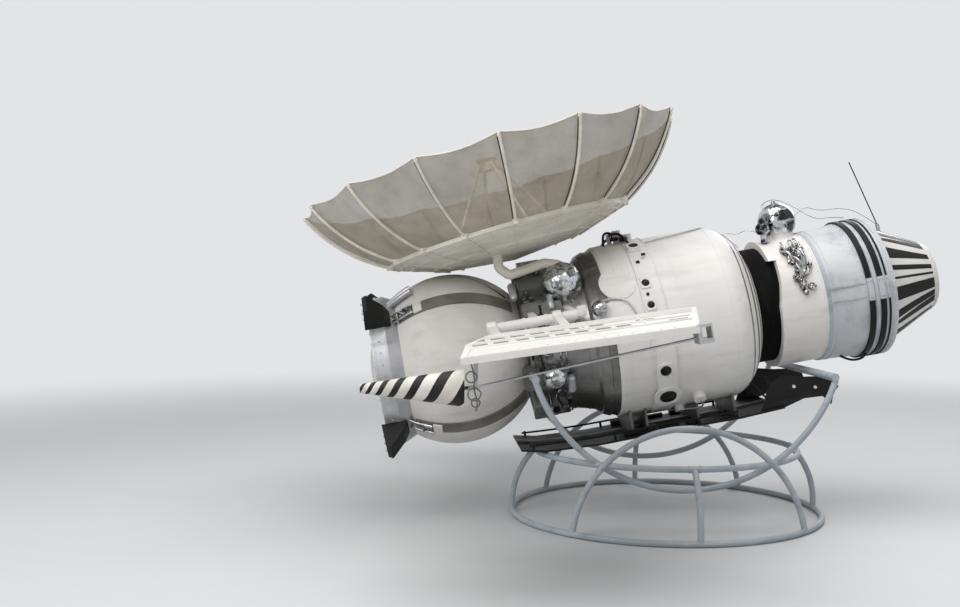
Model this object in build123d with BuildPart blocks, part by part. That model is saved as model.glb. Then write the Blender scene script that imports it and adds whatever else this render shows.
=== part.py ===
from build123d import *
from math import asin, cos, degrees, radians, sin, sqrt, tan
import os

os.makedirs("parts", exist_ok=True)

# An interplanetary probe as a museum shows it: the craft lies almost level on a round tube stand.
# +X runs along the craft from the landing capsule to the engine cone, +Y is its far side, +Z is up,
# and the origin is on the floor under the middle of the object's box. All sizes are in millimetres.

# Middle of the stand, so that the whole object's box is centred over the origin
stand_center = 264

# Craft axis: it passes over the middle of the stand and climbs towards the engine
axis_tilt = 9.8
axis_height = 1152

# Stations along the craft axis, measured from the point over the middle of the stand
capsule_station = -1286
lock_ring_station = -1745
waist_station = -870
flange_station = -385
shoulder_station = 300
skirt_station = 612
engine_station = 885
cone_station = 1262
nozzle_station = 1638

# Radii about the craft axis
capsule_radius = 505
lock_ring_radius = 436
waist_radius = 372
body_radius = 519
dome_depth = 264
neck_radius = 345
skirt_radius = 385
drum_radius = 418
cone_base_radius = 372
cone_tip_radius = 200

# Stand tubes
tube_radius = 17.5
base_radius = 920
upper_radius = 785
upper_height = 388
arch_height = 590
arch_offset = 655
cradle_offset = 600
cradle_bottom = 240
cradle_reach = 842
cradle_top = 850

# Umbrella dish: centre of its rim plane, lean of that plane about Y and then about its own long way
dish_center = Vector(stand_center - 1062, 0, 2074)
dish_tilt = 15.5
dish_lean = 4.0
dish_radius = 1150
dish_hub_radius = 726
dish_depth = 410
rib_count = 16

# Solar panels: each turns up about a hinge line beside the body. The outline's corners are given by
# station and by offset from the craft's middle. The panel lies a little flatter than the craft.
panel_sides = (("near", -1), ("far", 1))
panel_inner = 1000
panel_outer = 2000
panel_outline = ((-1110, 1000), (-20, 1000), (-260, 2000), (-1300, 2000), (-1250, 1380))
panel_right = -260
panel_lift = 106.5
panel_pitch = 2.3
panel_droop = 22
panel_thickness = 28
cell_margin = 26
cell_gap = 2
cell_thickness = 8

# Hinge tube beside the bay
hinge_offset = 690
hinge_lift = 175
hinge_tube_radius = 27.5
hinge_left = -1100
hinge_right = -600
hinge_play = 0.4

# Striped cone aerial hinged at each panel's outer corner
aerial_length = 460
aerial_base_radius = 84
aerial_tip_radius = 20
aerial_offset = 1780
aerial_station = -1300
aerial_lift = 3
pivot_reach = 28
pin_radius = 4

# Whip aerial on the engine cone
whip_station = 1405
whip_lift = 355
whip_length = 418
whip_lean = 15

axis_dir = Vector(cos(radians(axis_tilt)), 0, sin(radians(axis_tilt)))
lift_dir = Vector(-sin(radians(axis_tilt)), 0, cos(radians(axis_tilt)))
axis_origin = Vector(stand_center, 0, axis_height)
stand_axis = Axis((stand_center, 0, 0), (0, 0, 1))
craft_axis = Axis(axis_origin, axis_dir)


def on_craft(station, across, lift):
    """A point given along the craft axis, across it towards +Y, and square above it."""
    return axis_origin + axis_dir * station + Vector(0, across, 0) + lift_dir * lift


def station_plane(station):
    """A plane square to the craft axis: local x is +Y, local y is away from the floor."""
    return Plane(origin=on_craft(station, 0, 0), x_dir=(0, 1, 0), z_dir=axis_dir)


def side_plane(across):
    """A plane along the craft's side: local x follows the axis, its normal faces the viewer."""
    return Plane(origin=on_craft(0, across, 0), x_dir=axis_dir, z_dir=(0, -1, 0))


def deck_plane(lift):
    """A plane along the craft and level across it: local x follows the axis, local y is +Y."""
    return Plane(origin=on_craft(0, 0, lift), x_dir=axis_dir, z_dir=lift_dir)


def clock_plane(angle):
    """A plane that holds the craft axis: local x follows it, local y points out at this angle."""
    out = Vector(0, -cos(radians(angle)), 0) + lift_dir * sin(radians(angle))
    return Plane(origin=axis_origin, x_dir=axis_dir, z_dir=axis_dir.cross(out))


def radial_plane(angle):
    """An upright plane through the stand's middle: local x points out at this angle."""
    out = Vector(cos(radians(angle)), sin(radians(angle)), 0)
    return Plane(origin=(stand_center, 0, 0), x_dir=out, z_dir=out.cross(Vector(0, 0, 1)))


def upright_plane(across):
    """An upright plane along the stand: local x is +X from its middle, its normal faces the viewer."""
    return Plane(origin=(stand_center, across, 0), x_dir=(1, 0, 0), z_dir=(0, -1, 0))


def keep(piece, name):
    """Name the finished piece and write it out."""
    piece.part.label = name
    export_step(piece.part, f"parts/{name}.step")


# Stand: a base ring on the floor, an upper ring, four bent legs, two hoops and two long cradles
with BuildPart() as base_ring:
    with BuildSketch(radial_plane(22.5)):
        with Locations((base_radius, tube_radius)):
            Circle(tube_radius)
    revolve(axis=stand_axis)
keep(base_ring, "base_ring")

with BuildPart() as upper_ring:
    with BuildSketch(radial_plane(22.5)):
        with Locations((upper_radius, upper_height)):
            Circle(tube_radius)
    revolve(axis=stand_axis)
keep(upper_ring, "upper_ring")


def bent_tube(plane, start, middle, end):
    """Sweep the stand's tube along one arc drawn on a plane."""
    with BuildLine(plane) as path:
        ThreePointArc(start, middle, end)
    with BuildSketch(Plane(origin=path.line @ 0, z_dir=path.line % 0)) as section:
        Circle(tube_radius)
    sweep(section.sketch, path=path.line)


leg_angles = (0, 90, 180, 270)
with BuildPart() as stand_legs:
    for angle in leg_angles:
        foot = (base_radius - 1, tube_radius + 4)
        head = (upper_radius + 2, upper_height - 4)
        bent_tube(radial_plane(angle), foot, (base_radius - 24, 215), head)
    add(base_ring.part, mode=Mode.SUBTRACT)
    add(upper_ring.part, mode=Mode.SUBTRACT)
keep(stand_legs, "stand_legs")

hoop_foot = sqrt(base_radius**2 - arch_offset**2)
with BuildPart() as stand_hoops:
    for side in (-1, 1):
        upright = upright_plane(side * arch_offset)
        bent_tube(upright, (-hoop_foot, tube_radius), (0, arch_height), (hoop_foot, tube_radius))
    add(base_ring.part, mode=Mode.SUBTRACT)
    add(upper_ring.part, mode=Mode.SUBTRACT)
keep(stand_hoops, "stand_hoops")

with BuildPart() as stand_cradles:
    for side in (-1, 1):
        upright = upright_plane(side * cradle_offset)
        bent_tube(upright, (-cradle_reach, cradle_top), (0, cradle_bottom), (cradle_reach, cradle_top))
    add(upper_ring.part, mode=Mode.SUBTRACT)
    add(stand_hoops.part, mode=Mode.SUBTRACT)
keep(stand_cradles, "stand_cradles")

# Waist: the instrument bay flares from the capsule's seat to the body
bay_outline = (
    (waist_station, waist_radius),
    (-773, 390),
    (-625, 416),
    (-537, 437),
    (-500, 450),
    (-482, 467),
    (-426, 493),
    (flange_station, 503),
)
with BuildPart() as instrument_bay:
    with BuildSketch(side_plane(0)):
        with BuildLine():
            Polyline(
                (waist_station + 110, 0),
                (waist_station + 110, 300),
                (waist_station, 300),
                *bay_outline,
                (flange_station, 0),
                close=True,
            )
        make_face()
    revolve(axis=craft_axis)
keep(instrument_bay, "instrument_bay")

# Landing capsule: a ball that sits in the mouth of the bay
with BuildPart() as capsule:
    with BuildSketch(side_plane(0)):
        with BuildLine():
            CenterArc((capsule_station, 0), capsule_radius, 0, 180)
            Line((capsule_station - capsule_radius, 0), (capsule_station + capsule_radius, 0))
        make_face()
    revolve(axis=craft_axis)
    add(instrument_bay.part, mode=Mode.SUBTRACT)
keep(capsule, "capsule")

# Lock ring round the free end of the capsule: a band with a cone web that bears on the ball
lock_ring_width = 90
web_start = lock_ring_station + lock_ring_width
with BuildPart() as lock_ring:
    with BuildSketch(side_plane(0)):
        with BuildLine():
            Polyline(
                (lock_ring_station, lock_ring_radius - 40),
                (lock_ring_station, lock_ring_radius),
                (web_start, lock_ring_radius + 3),
                (web_start + 74, lock_ring_radius - 30),
                (web_start + 74, lock_ring_radius - 60),
                (web_start - 10, lock_ring_radius - 8),
                (lock_ring_station + 10, lock_ring_radius - 8),
                (lock_ring_station + 10, lock_ring_radius - 40),
                close=True,
            )
        make_face()
    revolve(axis=craft_axis)
    add(capsule.part, mode=Mode.SUBTRACT)
keep(lock_ring, "lock_ring")

strap_angles = (46, 134, 226, 314)
strap_width = 78
block_width = 115
with BuildPart() as lock_blocks:
    for angle in strap_angles:
        with BuildSketch(clock_plane(angle)):
            with BuildLine():
                Polyline(
                    (-1768, 434),
                    (-1757, 581),
                    (-1731, 597),
                    (-1648, 495),
                    (-1618, 434),
                    close=True,
                )
            make_face()
        extrude(amount=block_width / 2, both=True)
    add(lock_ring.part, mode=Mode.SUBTRACT)
keep(lock_blocks, "lock_blocks")

with BuildPart() as capsule_straps:
    for angle in strap_angles:
        with BuildSketch(clock_plane(angle)):
            with BuildLine():
                outer = CenterArc((capsule_station, 0), capsule_radius + 9, 44, 80)
                inner = CenterArc((capsule_station, 0), capsule_radius + 1, 44, 80)
                Line(outer @ 0, inner @ 0)
                Line(outer @ 1, inner @ 1)
            make_face()
        extrude(amount=strap_width / 2, both=True)
    add(lock_ring.part, mode=Mode.SUBTRACT)
    add(instrument_bay.part, mode=Mode.SUBTRACT)
keep(capsule_straps, "capsule_straps")

# Gas bottles beside the bay
side_bottle_table = (
    (-610, -305, 345, 122),
    (-752, -420, -172, 74),
    (-450, -520, 175, 46),
)
with BuildPart() as side_bottles:
    for station, across, lift, radius in side_bottle_table:
        with Locations(on_craft(station, across, lift)):
            Sphere(radius)
    add(instrument_bay.part, mode=Mode.SUBTRACT)
keep(side_bottles, "side_bottles")

# Boxes and canisters on the bay: station, clock angle, outer radius, length along the craft, width
bay_unit_table = (
    (-778, 54, 468, 165, 105),
    (-700, 29, 452, 120, 84),
    (-822, 30, 462, 92, 84),
    (-872, -24, 452, 96, 100),
    (-846, -50, 486, 92, 120),
    (-742, -48, 440, 70, 84),
    (-760, 150, 462, 150, 110),
    (-800, 210, 470, 120, 130),
    (-700, 250, 462, 130, 120),
    (-640, 110, 478, 100, 100),
)
with BuildPart() as bay_units:
    for station, angle, reach, length, width in bay_unit_table:
        plate = clock_plane(angle)
        top = plate.from_local_coords(Vector(station, reach, 0))
        with BuildSketch(Plane(origin=top, x_dir=axis_dir, z_dir=plate.y_dir)):
            RectangleRounded(length, width, 12)
        extrude(amount=reach - 330, dir=plate.y_dir * -1)
    add(instrument_bay.part, mode=Mode.SUBTRACT)
    add(capsule.part, mode=Mode.SUBTRACT)
    add(capsule_straps.part, mode=Mode.SUBTRACT)
    add(side_bottles.part, mode=Mode.SUBTRACT)
keep(bay_units, "bay_units")

# Main body: a white drum with a domed end
with BuildPart() as main_body:
    with BuildSketch(side_plane(0)):
        with BuildLine():
            Line((flange_station, 0), (flange_station, body_radius - 10))
            Line((flange_station, body_radius - 10), (flange_station + 16, body_radius - 2))
            Line((flange_station + 16, body_radius - 2), (flange_station + 60, body_radius))
            Line((flange_station + 60, body_radius), (shoulder_station, body_radius))
            EllipticalCenterArc((shoulder_station, 0), dome_depth, body_radius, start_angle=0, arc_size=90)
            Line((shoulder_station + dome_depth, 0), (flange_station, 0))
        make_face()
    revolve(axis=craft_axis)
keep(main_body, "main_body")


def body_shell(inner, outer, left, right):
    """Keep only what lies between two radii about the craft axis."""
    with BuildSketch(station_plane(left)) as shell:
        Circle(outer)
        Circle(inner, mode=Mode.SUBTRACT)
    extrude(shell.sketch, amount=right - left, mode=Mode.INTERSECT)


def radial_prism(station, angle, length, width, inner, outer):
    """A block standing out from the craft axis, its length along the craft."""
    plate = clock_plane(angle)
    foot = plate.from_local_coords(Vector(station, inner, 0))
    with BuildSketch(Plane(origin=foot, x_dir=axis_dir, z_dir=plate.y_dir)) as section:
        Rectangle(length, width)
    extrude(section.sketch, amount=outer - inner)


def radial_cylinder(station, angle, radius, inner, outer):
    """A cylinder standing out from the craft axis."""
    plate = clock_plane(angle)
    foot = plate.from_local_coords(Vector(station, inner, 0))
    with BuildSketch(Plane(origin=foot, x_dir=axis_dir, z_dir=plate.y_dir)) as section:
        Circle(radius)
    extrude(section.sketch, amount=outer - inner)


# Round raised pads on the body: station, clock angle, radius
pad_table = ((-312, 34.6, 106), (-368, 9.5, 116))
pad_rise = 5
with BuildPart() as body_pads:
    for station, angle, radius in pad_table:
        radial_cylinder(station, angle, radius, 440, body_radius + 60)
    body_shell(body_radius, body_radius + pad_rise, -500, -100)
    add(side_bottles.part, mode=Mode.SUBTRACT)
keep(body_pads, "body_pads")

# Sensor belt: a raised band with a long housing low on the near side and a square one near the top
belt_left = -196
belt_right = -76
belt_rise = 6
housing_rise = 20
housing_table = (
    (-122, -20, 112, 180),
    (-122, -34, 112, 180),
    (-122, -48, 116, 130),
    (-150, 64, 78, 96),
)
with BuildPart() as sensor_belt:
    for station, angle, length, width in housing_table:
        radial_prism(station, angle, length, width, 440, 620)
    body_shell(body_radius, body_radius + housing_rise, -260, 0)
    with BuildSketch(station_plane(belt_left)):
        Circle(body_radius + belt_rise)
        Circle(body_radius, mode=Mode.SUBTRACT)
    extrude(amount=belt_right - belt_left)
keep(sensor_belt, "sensor_belt")

# Ports on the belt: station, clock angle, length, width, height of what they stand on
port_table = (
    (-150, 64, 54, 58, housing_rise),
    (-162, 47.9, 20, 20, belt_rise),
    (-158, 30.7, 44, 50, belt_rise),
    (-161, 23, 16, 18, belt_rise),
    (-158, 16, 40, 46, belt_rise),
    (-157, 10.2, 32, 12, belt_rise),
    (-134, -26, 62, 72, housing_rise),
    (-122, -47, 96, 122, housing_rise),
)
port_rise = 4
with BuildPart() as belt_ports:
    for station, angle, length, width, seat in port_table:
        radial_prism(station, angle, length, width, body_radius + seat, body_radius + seat + port_rise)
    add(sensor_belt.part, mode=Mode.SUBTRACT)
    add(main_body.part, mode=Mode.SUBTRACT)
keep(belt_ports, "belt_ports")

# Valves and connectors on the body: station, clock angle, radius, height above the body
fitting_table = (
    (-196, 90, 26, 74),
    (-150, 86, 34, 44),
    (-240, 94, 15, 58),
    (67, -54, 36, 46),
    (-27, -72, 30, 34),
)
with BuildPart() as body_fittings:
    for station, angle, radius, rise in fitting_table:
        radial_cylinder(station, angle, radius, 440, body_radius + rise)
    add(main_body.part, mode=Mode.SUBTRACT)
    add(sensor_belt.part, mode=Mode.SUBTRACT)
keep(body_fittings, "body_fittings")

# Neck: a black sleeve between the dome and the skirt
seat_radius = body_radius + 0.3
seat_angle = degrees(asin(neck_radius / seat_radius))
with BuildPart() as neck:
    with BuildSketch(side_plane(0)):
        with BuildLine():
            seat = EllipticalCenterArc(
                (shoulder_station, 0), dome_depth + 0.3, seat_radius, start_angle=0, arc_size=seat_angle
            )
            Line(seat @ 1, (engine_station, neck_radius))
            Line((engine_station, neck_radius), (engine_station, 0))
            Line((engine_station, 0), seat @ 0)
        make_face()
    revolve(axis=craft_axis)
keep(neck, "neck")

# Top bottle: it sits in a white collar on the skirt
top_bottle_station = 789
top_bottle_radius = 113
top_bottle_lift = 480
with BuildPart() as top_bottle:
    with Locations(on_craft(top_bottle_station, 0, top_bottle_lift)):
        Sphere(top_bottle_radius)
    with BuildSketch(station_plane(skirt_station)):
        Circle(skirt_radius)
    extrude(amount=engine_station - skirt_station, mode=Mode.SUBTRACT)
keep(top_bottle, "top_bottle")

# Skirt: a white barrel round the neck, its front edge cut back on the near side, with the bottle's collar
collar_radius = 95
collar_foot = 340
collar_top = 432
bottle_axis = Axis(on_craft(top_bottle_station, 0, 0), lift_dir)
with BuildPart() as bottle_seat:
    with BuildSketch(side_plane(0)):
        with BuildLine():
            Polyline(
                (top_bottle_station, collar_foot),
                (top_bottle_station + collar_radius, collar_foot),
                (top_bottle_station + collar_radius - 14, collar_top),
                (top_bottle_station, collar_top),
                close=True,
            )
        make_face()
        with Locations((top_bottle_station, top_bottle_lift)):
            Circle(top_bottle_radius, mode=Mode.SUBTRACT)
    revolve(axis=bottle_axis)
    with BuildSketch(station_plane(skirt_station)):
        Circle(skirt_radius - 5)
    extrude(amount=engine_station - skirt_station, mode=Mode.SUBTRACT)

with BuildPart() as skirt:
    with BuildSketch(station_plane(skirt_station)):
        Circle(skirt_radius)
        Circle(neck_radius, mode=Mode.SUBTRACT)
    extrude(amount=engine_station - skirt_station)
    add(bottle_seat.part)
    with BuildSketch(side_plane(-180)):
        with BuildLine():
            Polyline((600, 262), (656, 262), (640, 120), (614, 0), (600, 0), close=True)
        make_face()
    extrude(amount=300, mode=Mode.SUBTRACT)
keep(skirt, "skirt")

# Valve group in the skirt's near side: station, clock angle, radius, height above the skirt
valve_table = (
    (742, 38, 26, 26),
    (758, 16, 22, 30),
    (786, 27, 34, 22),
    (800, 44, 24, 34),
    (806, 12, 20, 24),
    (768, 50, 16, 20),
)
with BuildPart() as skirt_valves:
    for station, angle, radius, rise in valve_table:
        radial_cylinder(station, angle, radius, 300, skirt_radius + rise)
    add(skirt.part, mode=Mode.SUBTRACT)
    add(neck.part, mode=Mode.SUBTRACT)
keep(skirt_valves, "skirt_valves")

# Engine drum: it widens a little towards a base ring that carries the cone
ring_width = 23
with BuildPart() as engine_drum:
    with BuildSketch(side_plane(0)):
        with BuildLine():
            Polyline(
                (engine_station, 0),
                (engine_station, skirt_radius + 6),
                (cone_station, drum_radius - 2),
                (cone_station, drum_radius + 2),
                (cone_station + ring_width, drum_radius + 2),
                (cone_station + ring_width, 0),
                close=True,
            )
        make_face()
    revolve(axis=craft_axis)
keep(engine_drum, "engine_drum")

# Black bands round the drum, open where the joint strip runs along its near side: station and width
band_table = ((1120, 30), (1184, 32), (1232, 10))
band_rise = 3
joint_low = -8
joint_high = 10
with BuildPart() as drum_bands:
    for station, width in band_table:
        with BuildSketch(clock_plane(joint_high)):
            with BuildLine():
                Polyline(
                    (station, 380),
                    (station, drum_radius + band_rise),
                    (station + width, drum_radius + band_rise),
                    (station + width, 380),
                    close=True,
                )
            make_face()
        revolve(axis=craft_axis, revolution_arc=joint_low - joint_high + 360)
    add(engine_drum.part, mode=Mode.SUBTRACT)
keep(drum_bands, "drum_bands")

# Engine cone: open at the tip round the nozzle
tip_depth = 70
tip_wall = 12
with BuildPart() as engine_cone:
    with BuildSketch(side_plane(0)):
        with BuildLine():
            Polyline(
                (cone_station + ring_width, 0),
                (cone_station + ring_width, cone_base_radius),
                (nozzle_station, cone_tip_radius),
                (nozzle_station, cone_tip_radius - tip_wall),
                (nozzle_station - tip_depth, cone_tip_radius - tip_wall),
                (nozzle_station - tip_depth, 60),
                (nozzle_station - 12, 104),
                (nozzle_station - 12, 98),
                (nozzle_station - tip_depth, 0),
                close=True,
            )
        make_face()
    revolve(axis=craft_axis)
keep(engine_cone, "engine_cone")

# Shield: a wide black plate slung below the craft, with a deep fin at each side under the skirt
shield_half = 300
shield_thickness = 12
shield_line = (
    (-1003, -563),
    (-860, -592),
    (-545, -608),
    (0, -600),
    (290, -602),
    (560, -588),
)
fin_offset = 270
fin_outline = (
    (420, -606),
    (497, -452),
    (581, -412),
    (700, -440),
    (868, -463),
    (878, -520),
    (905, -530),
    (880, -552),
    (862, -580),
    (842, -628),
    (800, -572),
    (688, -566),
    (560, -600),
)
with BuildPart() as shield_plate:
    with BuildSketch(side_plane(-shield_half)):
        with BuildLine():
            lower = [(station, lift - shield_thickness) for station, lift in reversed(shield_line)]
            Polyline(*shield_line, *lower, close=True)
        make_face()
    extrude(amount=-2 * shield_half)
    for side in (-1, 1):
        with BuildSketch(side_plane(side * fin_offset)):
            with BuildLine():
                Polyline(*fin_outline, close=True)
            make_face()
        extrude(amount=shield_thickness / 2, both=True)
keep(shield_plate, "shield_plate")

# Saddles between body and shield: station, half width
saddle_table = ((-340, 240), (-250, 240), (60, 220), (280, 220))
with BuildPart() as shield_saddles:
    for station, half in saddle_table:
        with BuildSketch(station_plane(station)):
            with Locations((0, -500)):
                Rectangle(2 * half, 260)
            Circle(body_radius, mode=Mode.SUBTRACT)
        extrude(amount=14)
    with BuildSketch(side_plane(-14)):
        with BuildLine():
            rail = [(station, lift + 14) for station, lift in reversed(shield_line)]
            Polyline(*shield_line, *rail, close=True)
        make_face()
    extrude(amount=-28)
    with BuildSketch(side_plane(-shield_half)):
        with BuildLine():
            Polyline(*shield_line, (560, -900), (-1003, -900), close=True)
        make_face()
    extrude(amount=-2 * shield_half, mode=Mode.SUBTRACT)
keep(shield_saddles, "shield_saddles")

# Cradle fittings: at the waist two arms reach in to the bay, at the engine end one bar passes below
arm_radius = 22
with BuildPart() as cradle_fittings:
    for side in (-1, 1):
        arm_root = (stand_center - cradle_reach, side * (cradle_offset + 20), cradle_top + 10)
        with BuildSketch(Plane(origin=arm_root, z_dir=(0, -side, 0))):
            Circle(arm_radius)
        extrude(amount=300)
    bar_end = (stand_center + cradle_reach - 8, -cradle_offset - 20, cradle_top + 14)
    with BuildSketch(Plane(origin=bar_end, z_dir=(0, 1, 0))):
        Circle(arm_radius)
    extrude(amount=2 * cradle_offset + 40)
    add(instrument_bay.part, mode=Mode.SUBTRACT)
    add(bay_units.part, mode=Mode.SUBTRACT)
    add(engine_drum.part, mode=Mode.SUBTRACT)
    add(skirt.part, mode=Mode.SUBTRACT)
    add(neck.part, mode=Mode.SUBTRACT)
    add(shield_plate.part, mode=Mode.SUBTRACT)
    add(stand_cradles.part, mode=Mode.SUBTRACT)
keep(cradle_fittings, "cradle_fittings")

# Umbrella dish, in its own frame: local z is the way it looks, local x lies along its high side
dish_x = Vector(cos(radians(dish_tilt)), 0, sin(radians(dish_tilt)))
dish_up = Vector(-sin(radians(dish_tilt)), 0, cos(radians(dish_tilt)))
dish_normal = dish_up * cos(radians(dish_lean)) + Vector(0, 1, 0) * sin(radians(dish_lean))
dish_frame = Plane(origin=dish_center, x_dir=dish_x, z_dir=dish_normal)


def dish_radial(angle):
    """A plane that holds the dish's axis: local x points out from it, local y is the way it looks."""
    out = dish_frame.x_dir * cos(radians(angle)) + dish_frame.y_dir * sin(radians(angle))
    return Plane(origin=dish_center, x_dir=out, z_dir=out.cross(dish_normal))


hub_floor = -572
hub_lip = 14
with BuildPart() as dish_hub:
    with BuildSketch(dish_radial(0)):
        with BuildLine():
            Line((0, hub_floor), (420, hub_floor + 48))
            Line((420, hub_floor + 48), (dish_hub_radius, -dish_depth - hub_lip))
            Line((dish_hub_radius, -dish_depth - hub_lip), (dish_hub_radius, -dish_depth))
            Line((dish_hub_radius, -dish_depth), (410, hub_floor + 70))
            Line((410, hub_floor + 70), (0, hub_floor + 20))
            Line((0, hub_floor + 20), (0, hub_floor))
        make_face()
    revolve(axis=Axis(dish_center, dish_normal))
keep(dish_hub, "dish_hub")

rib_sag = 55
rib_middle = ((dish_hub_radius + dish_radius) / 2 + rib_sag * 0.7, -dish_depth / 2 - rib_sag * 0.7)
with BuildPart() as dish_ribs:
    for index in range(rib_count):
        with BuildLine(dish_radial(index * 360 / rib_count)) as path:
            ThreePointArc((dish_hub_radius + 8, -dish_depth - 8), rib_middle, (dish_radius, 0))
        with BuildSketch(Plane(origin=path.line @ 0, z_dir=path.line % 0)):
            Circle(8)
        sweep(path=path.line)
    add(dish_hub.part, mode=Mode.SUBTRACT)
keep(dish_ribs, "dish_ribs")

# Mesh: sixteen gores on the inner side of the ribs, their free edges drawn straight between the rib tips
mesh_thickness = 3
mesh_lift = 9
gore_angle = 360 / rib_count
gore_gap = 0.5
with BuildPart() as dish_mesh:
    for index in range(rib_count):
        with BuildSketch(dish_radial(index * gore_angle + gore_gap / 2)) as gore:
            with BuildLine():
                outer = ThreePointArc(
                    (dish_hub_radius - mesh_lift + 8, -dish_depth + 1),
                    (rib_middle[0] - mesh_lift, rib_middle[1] + mesh_lift),
                    (dish_radius - mesh_lift, mesh_lift),
                )
                inner = ThreePointArc(
                    (dish_hub_radius - mesh_lift + 4, -dish_depth + 1),
                    (rib_middle[0] - mesh_lift - 2, rib_middle[1] + mesh_lift + 2),
                    (dish_radius - mesh_lift - 2, mesh_lift + 2),
                )
                Line(outer @ 0, inner @ 0)
                Line(outer @ 1, inner @ 1)
            make_face()
        revolve(axis=Axis(dish_center, dish_normal), revolution_arc=gore_angle - gore_gap)
    with BuildSketch(dish_frame.offset(-dish_depth)):
        RegularPolygon(dish_radius - mesh_lift, rib_count)
    extrude(amount=2 * dish_depth, mode=Mode.INTERSECT)
keep(dish_mesh, "dish_mesh")

# Feed: a horn at the focus on four struts from the hub
feed_height = 62
feed_drop = 70
strut_foot = 400
with BuildPart() as dish_feed:
    with BuildSketch(dish_frame.offset(feed_height - feed_drop)):
        Circle(58)
    extrude(amount=feed_drop)
    for angle in (20, 110, 200, 290):
        foot = dish_radial(angle).from_local_coords(Vector(strut_foot, hub_floor + 66, 0))
        head = dish_radial(angle).from_local_coords(Vector(50, feed_height - 30, 0))
        with BuildSketch(Plane(origin=foot, z_dir=head - foot)):
            Circle(9)
        extrude(amount=(head - foot).length)
    add(dish_hub.part, mode=Mode.SUBTRACT)
keep(dish_feed, "dish_feed")

# Mast: a short post from the bay to the hub
mast_station = -760
with BuildPart() as dish_mast:
    with BuildSketch(deck_plane(waist_radius - 20)):
        with Locations((mast_station, 0)):
            Circle(70)
    extrude(amount=150)
    add(dish_hub.part, mode=Mode.SUBTRACT)
    add(instrument_bay.part, mode=Mode.SUBTRACT)
    add(capsule.part, mode=Mode.SUBTRACT)
    add(bay_units.part, mode=Mode.SUBTRACT)
keep(dish_mast, "dish_mast")

# Coolant pipe: out of the hub's near side, down, and along the bay to the body
pipe_radius = 28
pipe_across = -300
pipe_bend = 62
pipe_points = ((-952, 574), (-952, 492), (-900, 440), (-690, 476), (-610, 452), (-560, 400))
with BuildPart() as coolant_pipe:
    with BuildLine(side_plane(pipe_across)) as pipe_path:
        FilletPolyline(*pipe_points, radius=pipe_bend * 0.6)
    with BuildSketch(Plane(origin=pipe_path.line @ 0, z_dir=pipe_path.line % 0)) as pipe_section:
        Circle(pipe_radius)
    sweep(pipe_section.sketch, path=pipe_path.line)
    add(dish_hub.part, mode=Mode.SUBTRACT)
    add(instrument_bay.part, mode=Mode.SUBTRACT)
    add(side_bottles.part, mode=Mode.SUBTRACT)
    add(bay_units.part, mode=Mode.SUBTRACT)
    add(capsule_straps.part, mode=Mode.SUBTRACT)
    add(capsule.part, mode=Mode.SUBTRACT)
keep(coolant_pipe, "coolant_pipe")

# Panels: the hinge tube stands off the bay on two brackets; the panel's arms turn on it
bracket_table = ((-846, 34), (-636, 36))
arm_table = ((-1098, 50), (-736, 46))
sleeve_radius = 40
panel_x = axis_dir * cos(radians(panel_pitch)) - lift_dir * sin(radians(panel_pitch))
panel_slope = tan(radians(panel_pitch))


def panel_face(plane, side, margin):
    """The panel's outline, drawn in by a margin, on a plane of the panel."""
    with BuildSketch(plane) as face:
        with BuildLine():
            corners = [(station, side * (reach - panel_inner)) for station, reach in panel_outline]
            Polyline(*corners, close=True)
        make_face()
        offset(amount=-margin, kind=Kind.INTERSECTION)
    return face.sketch


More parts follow.
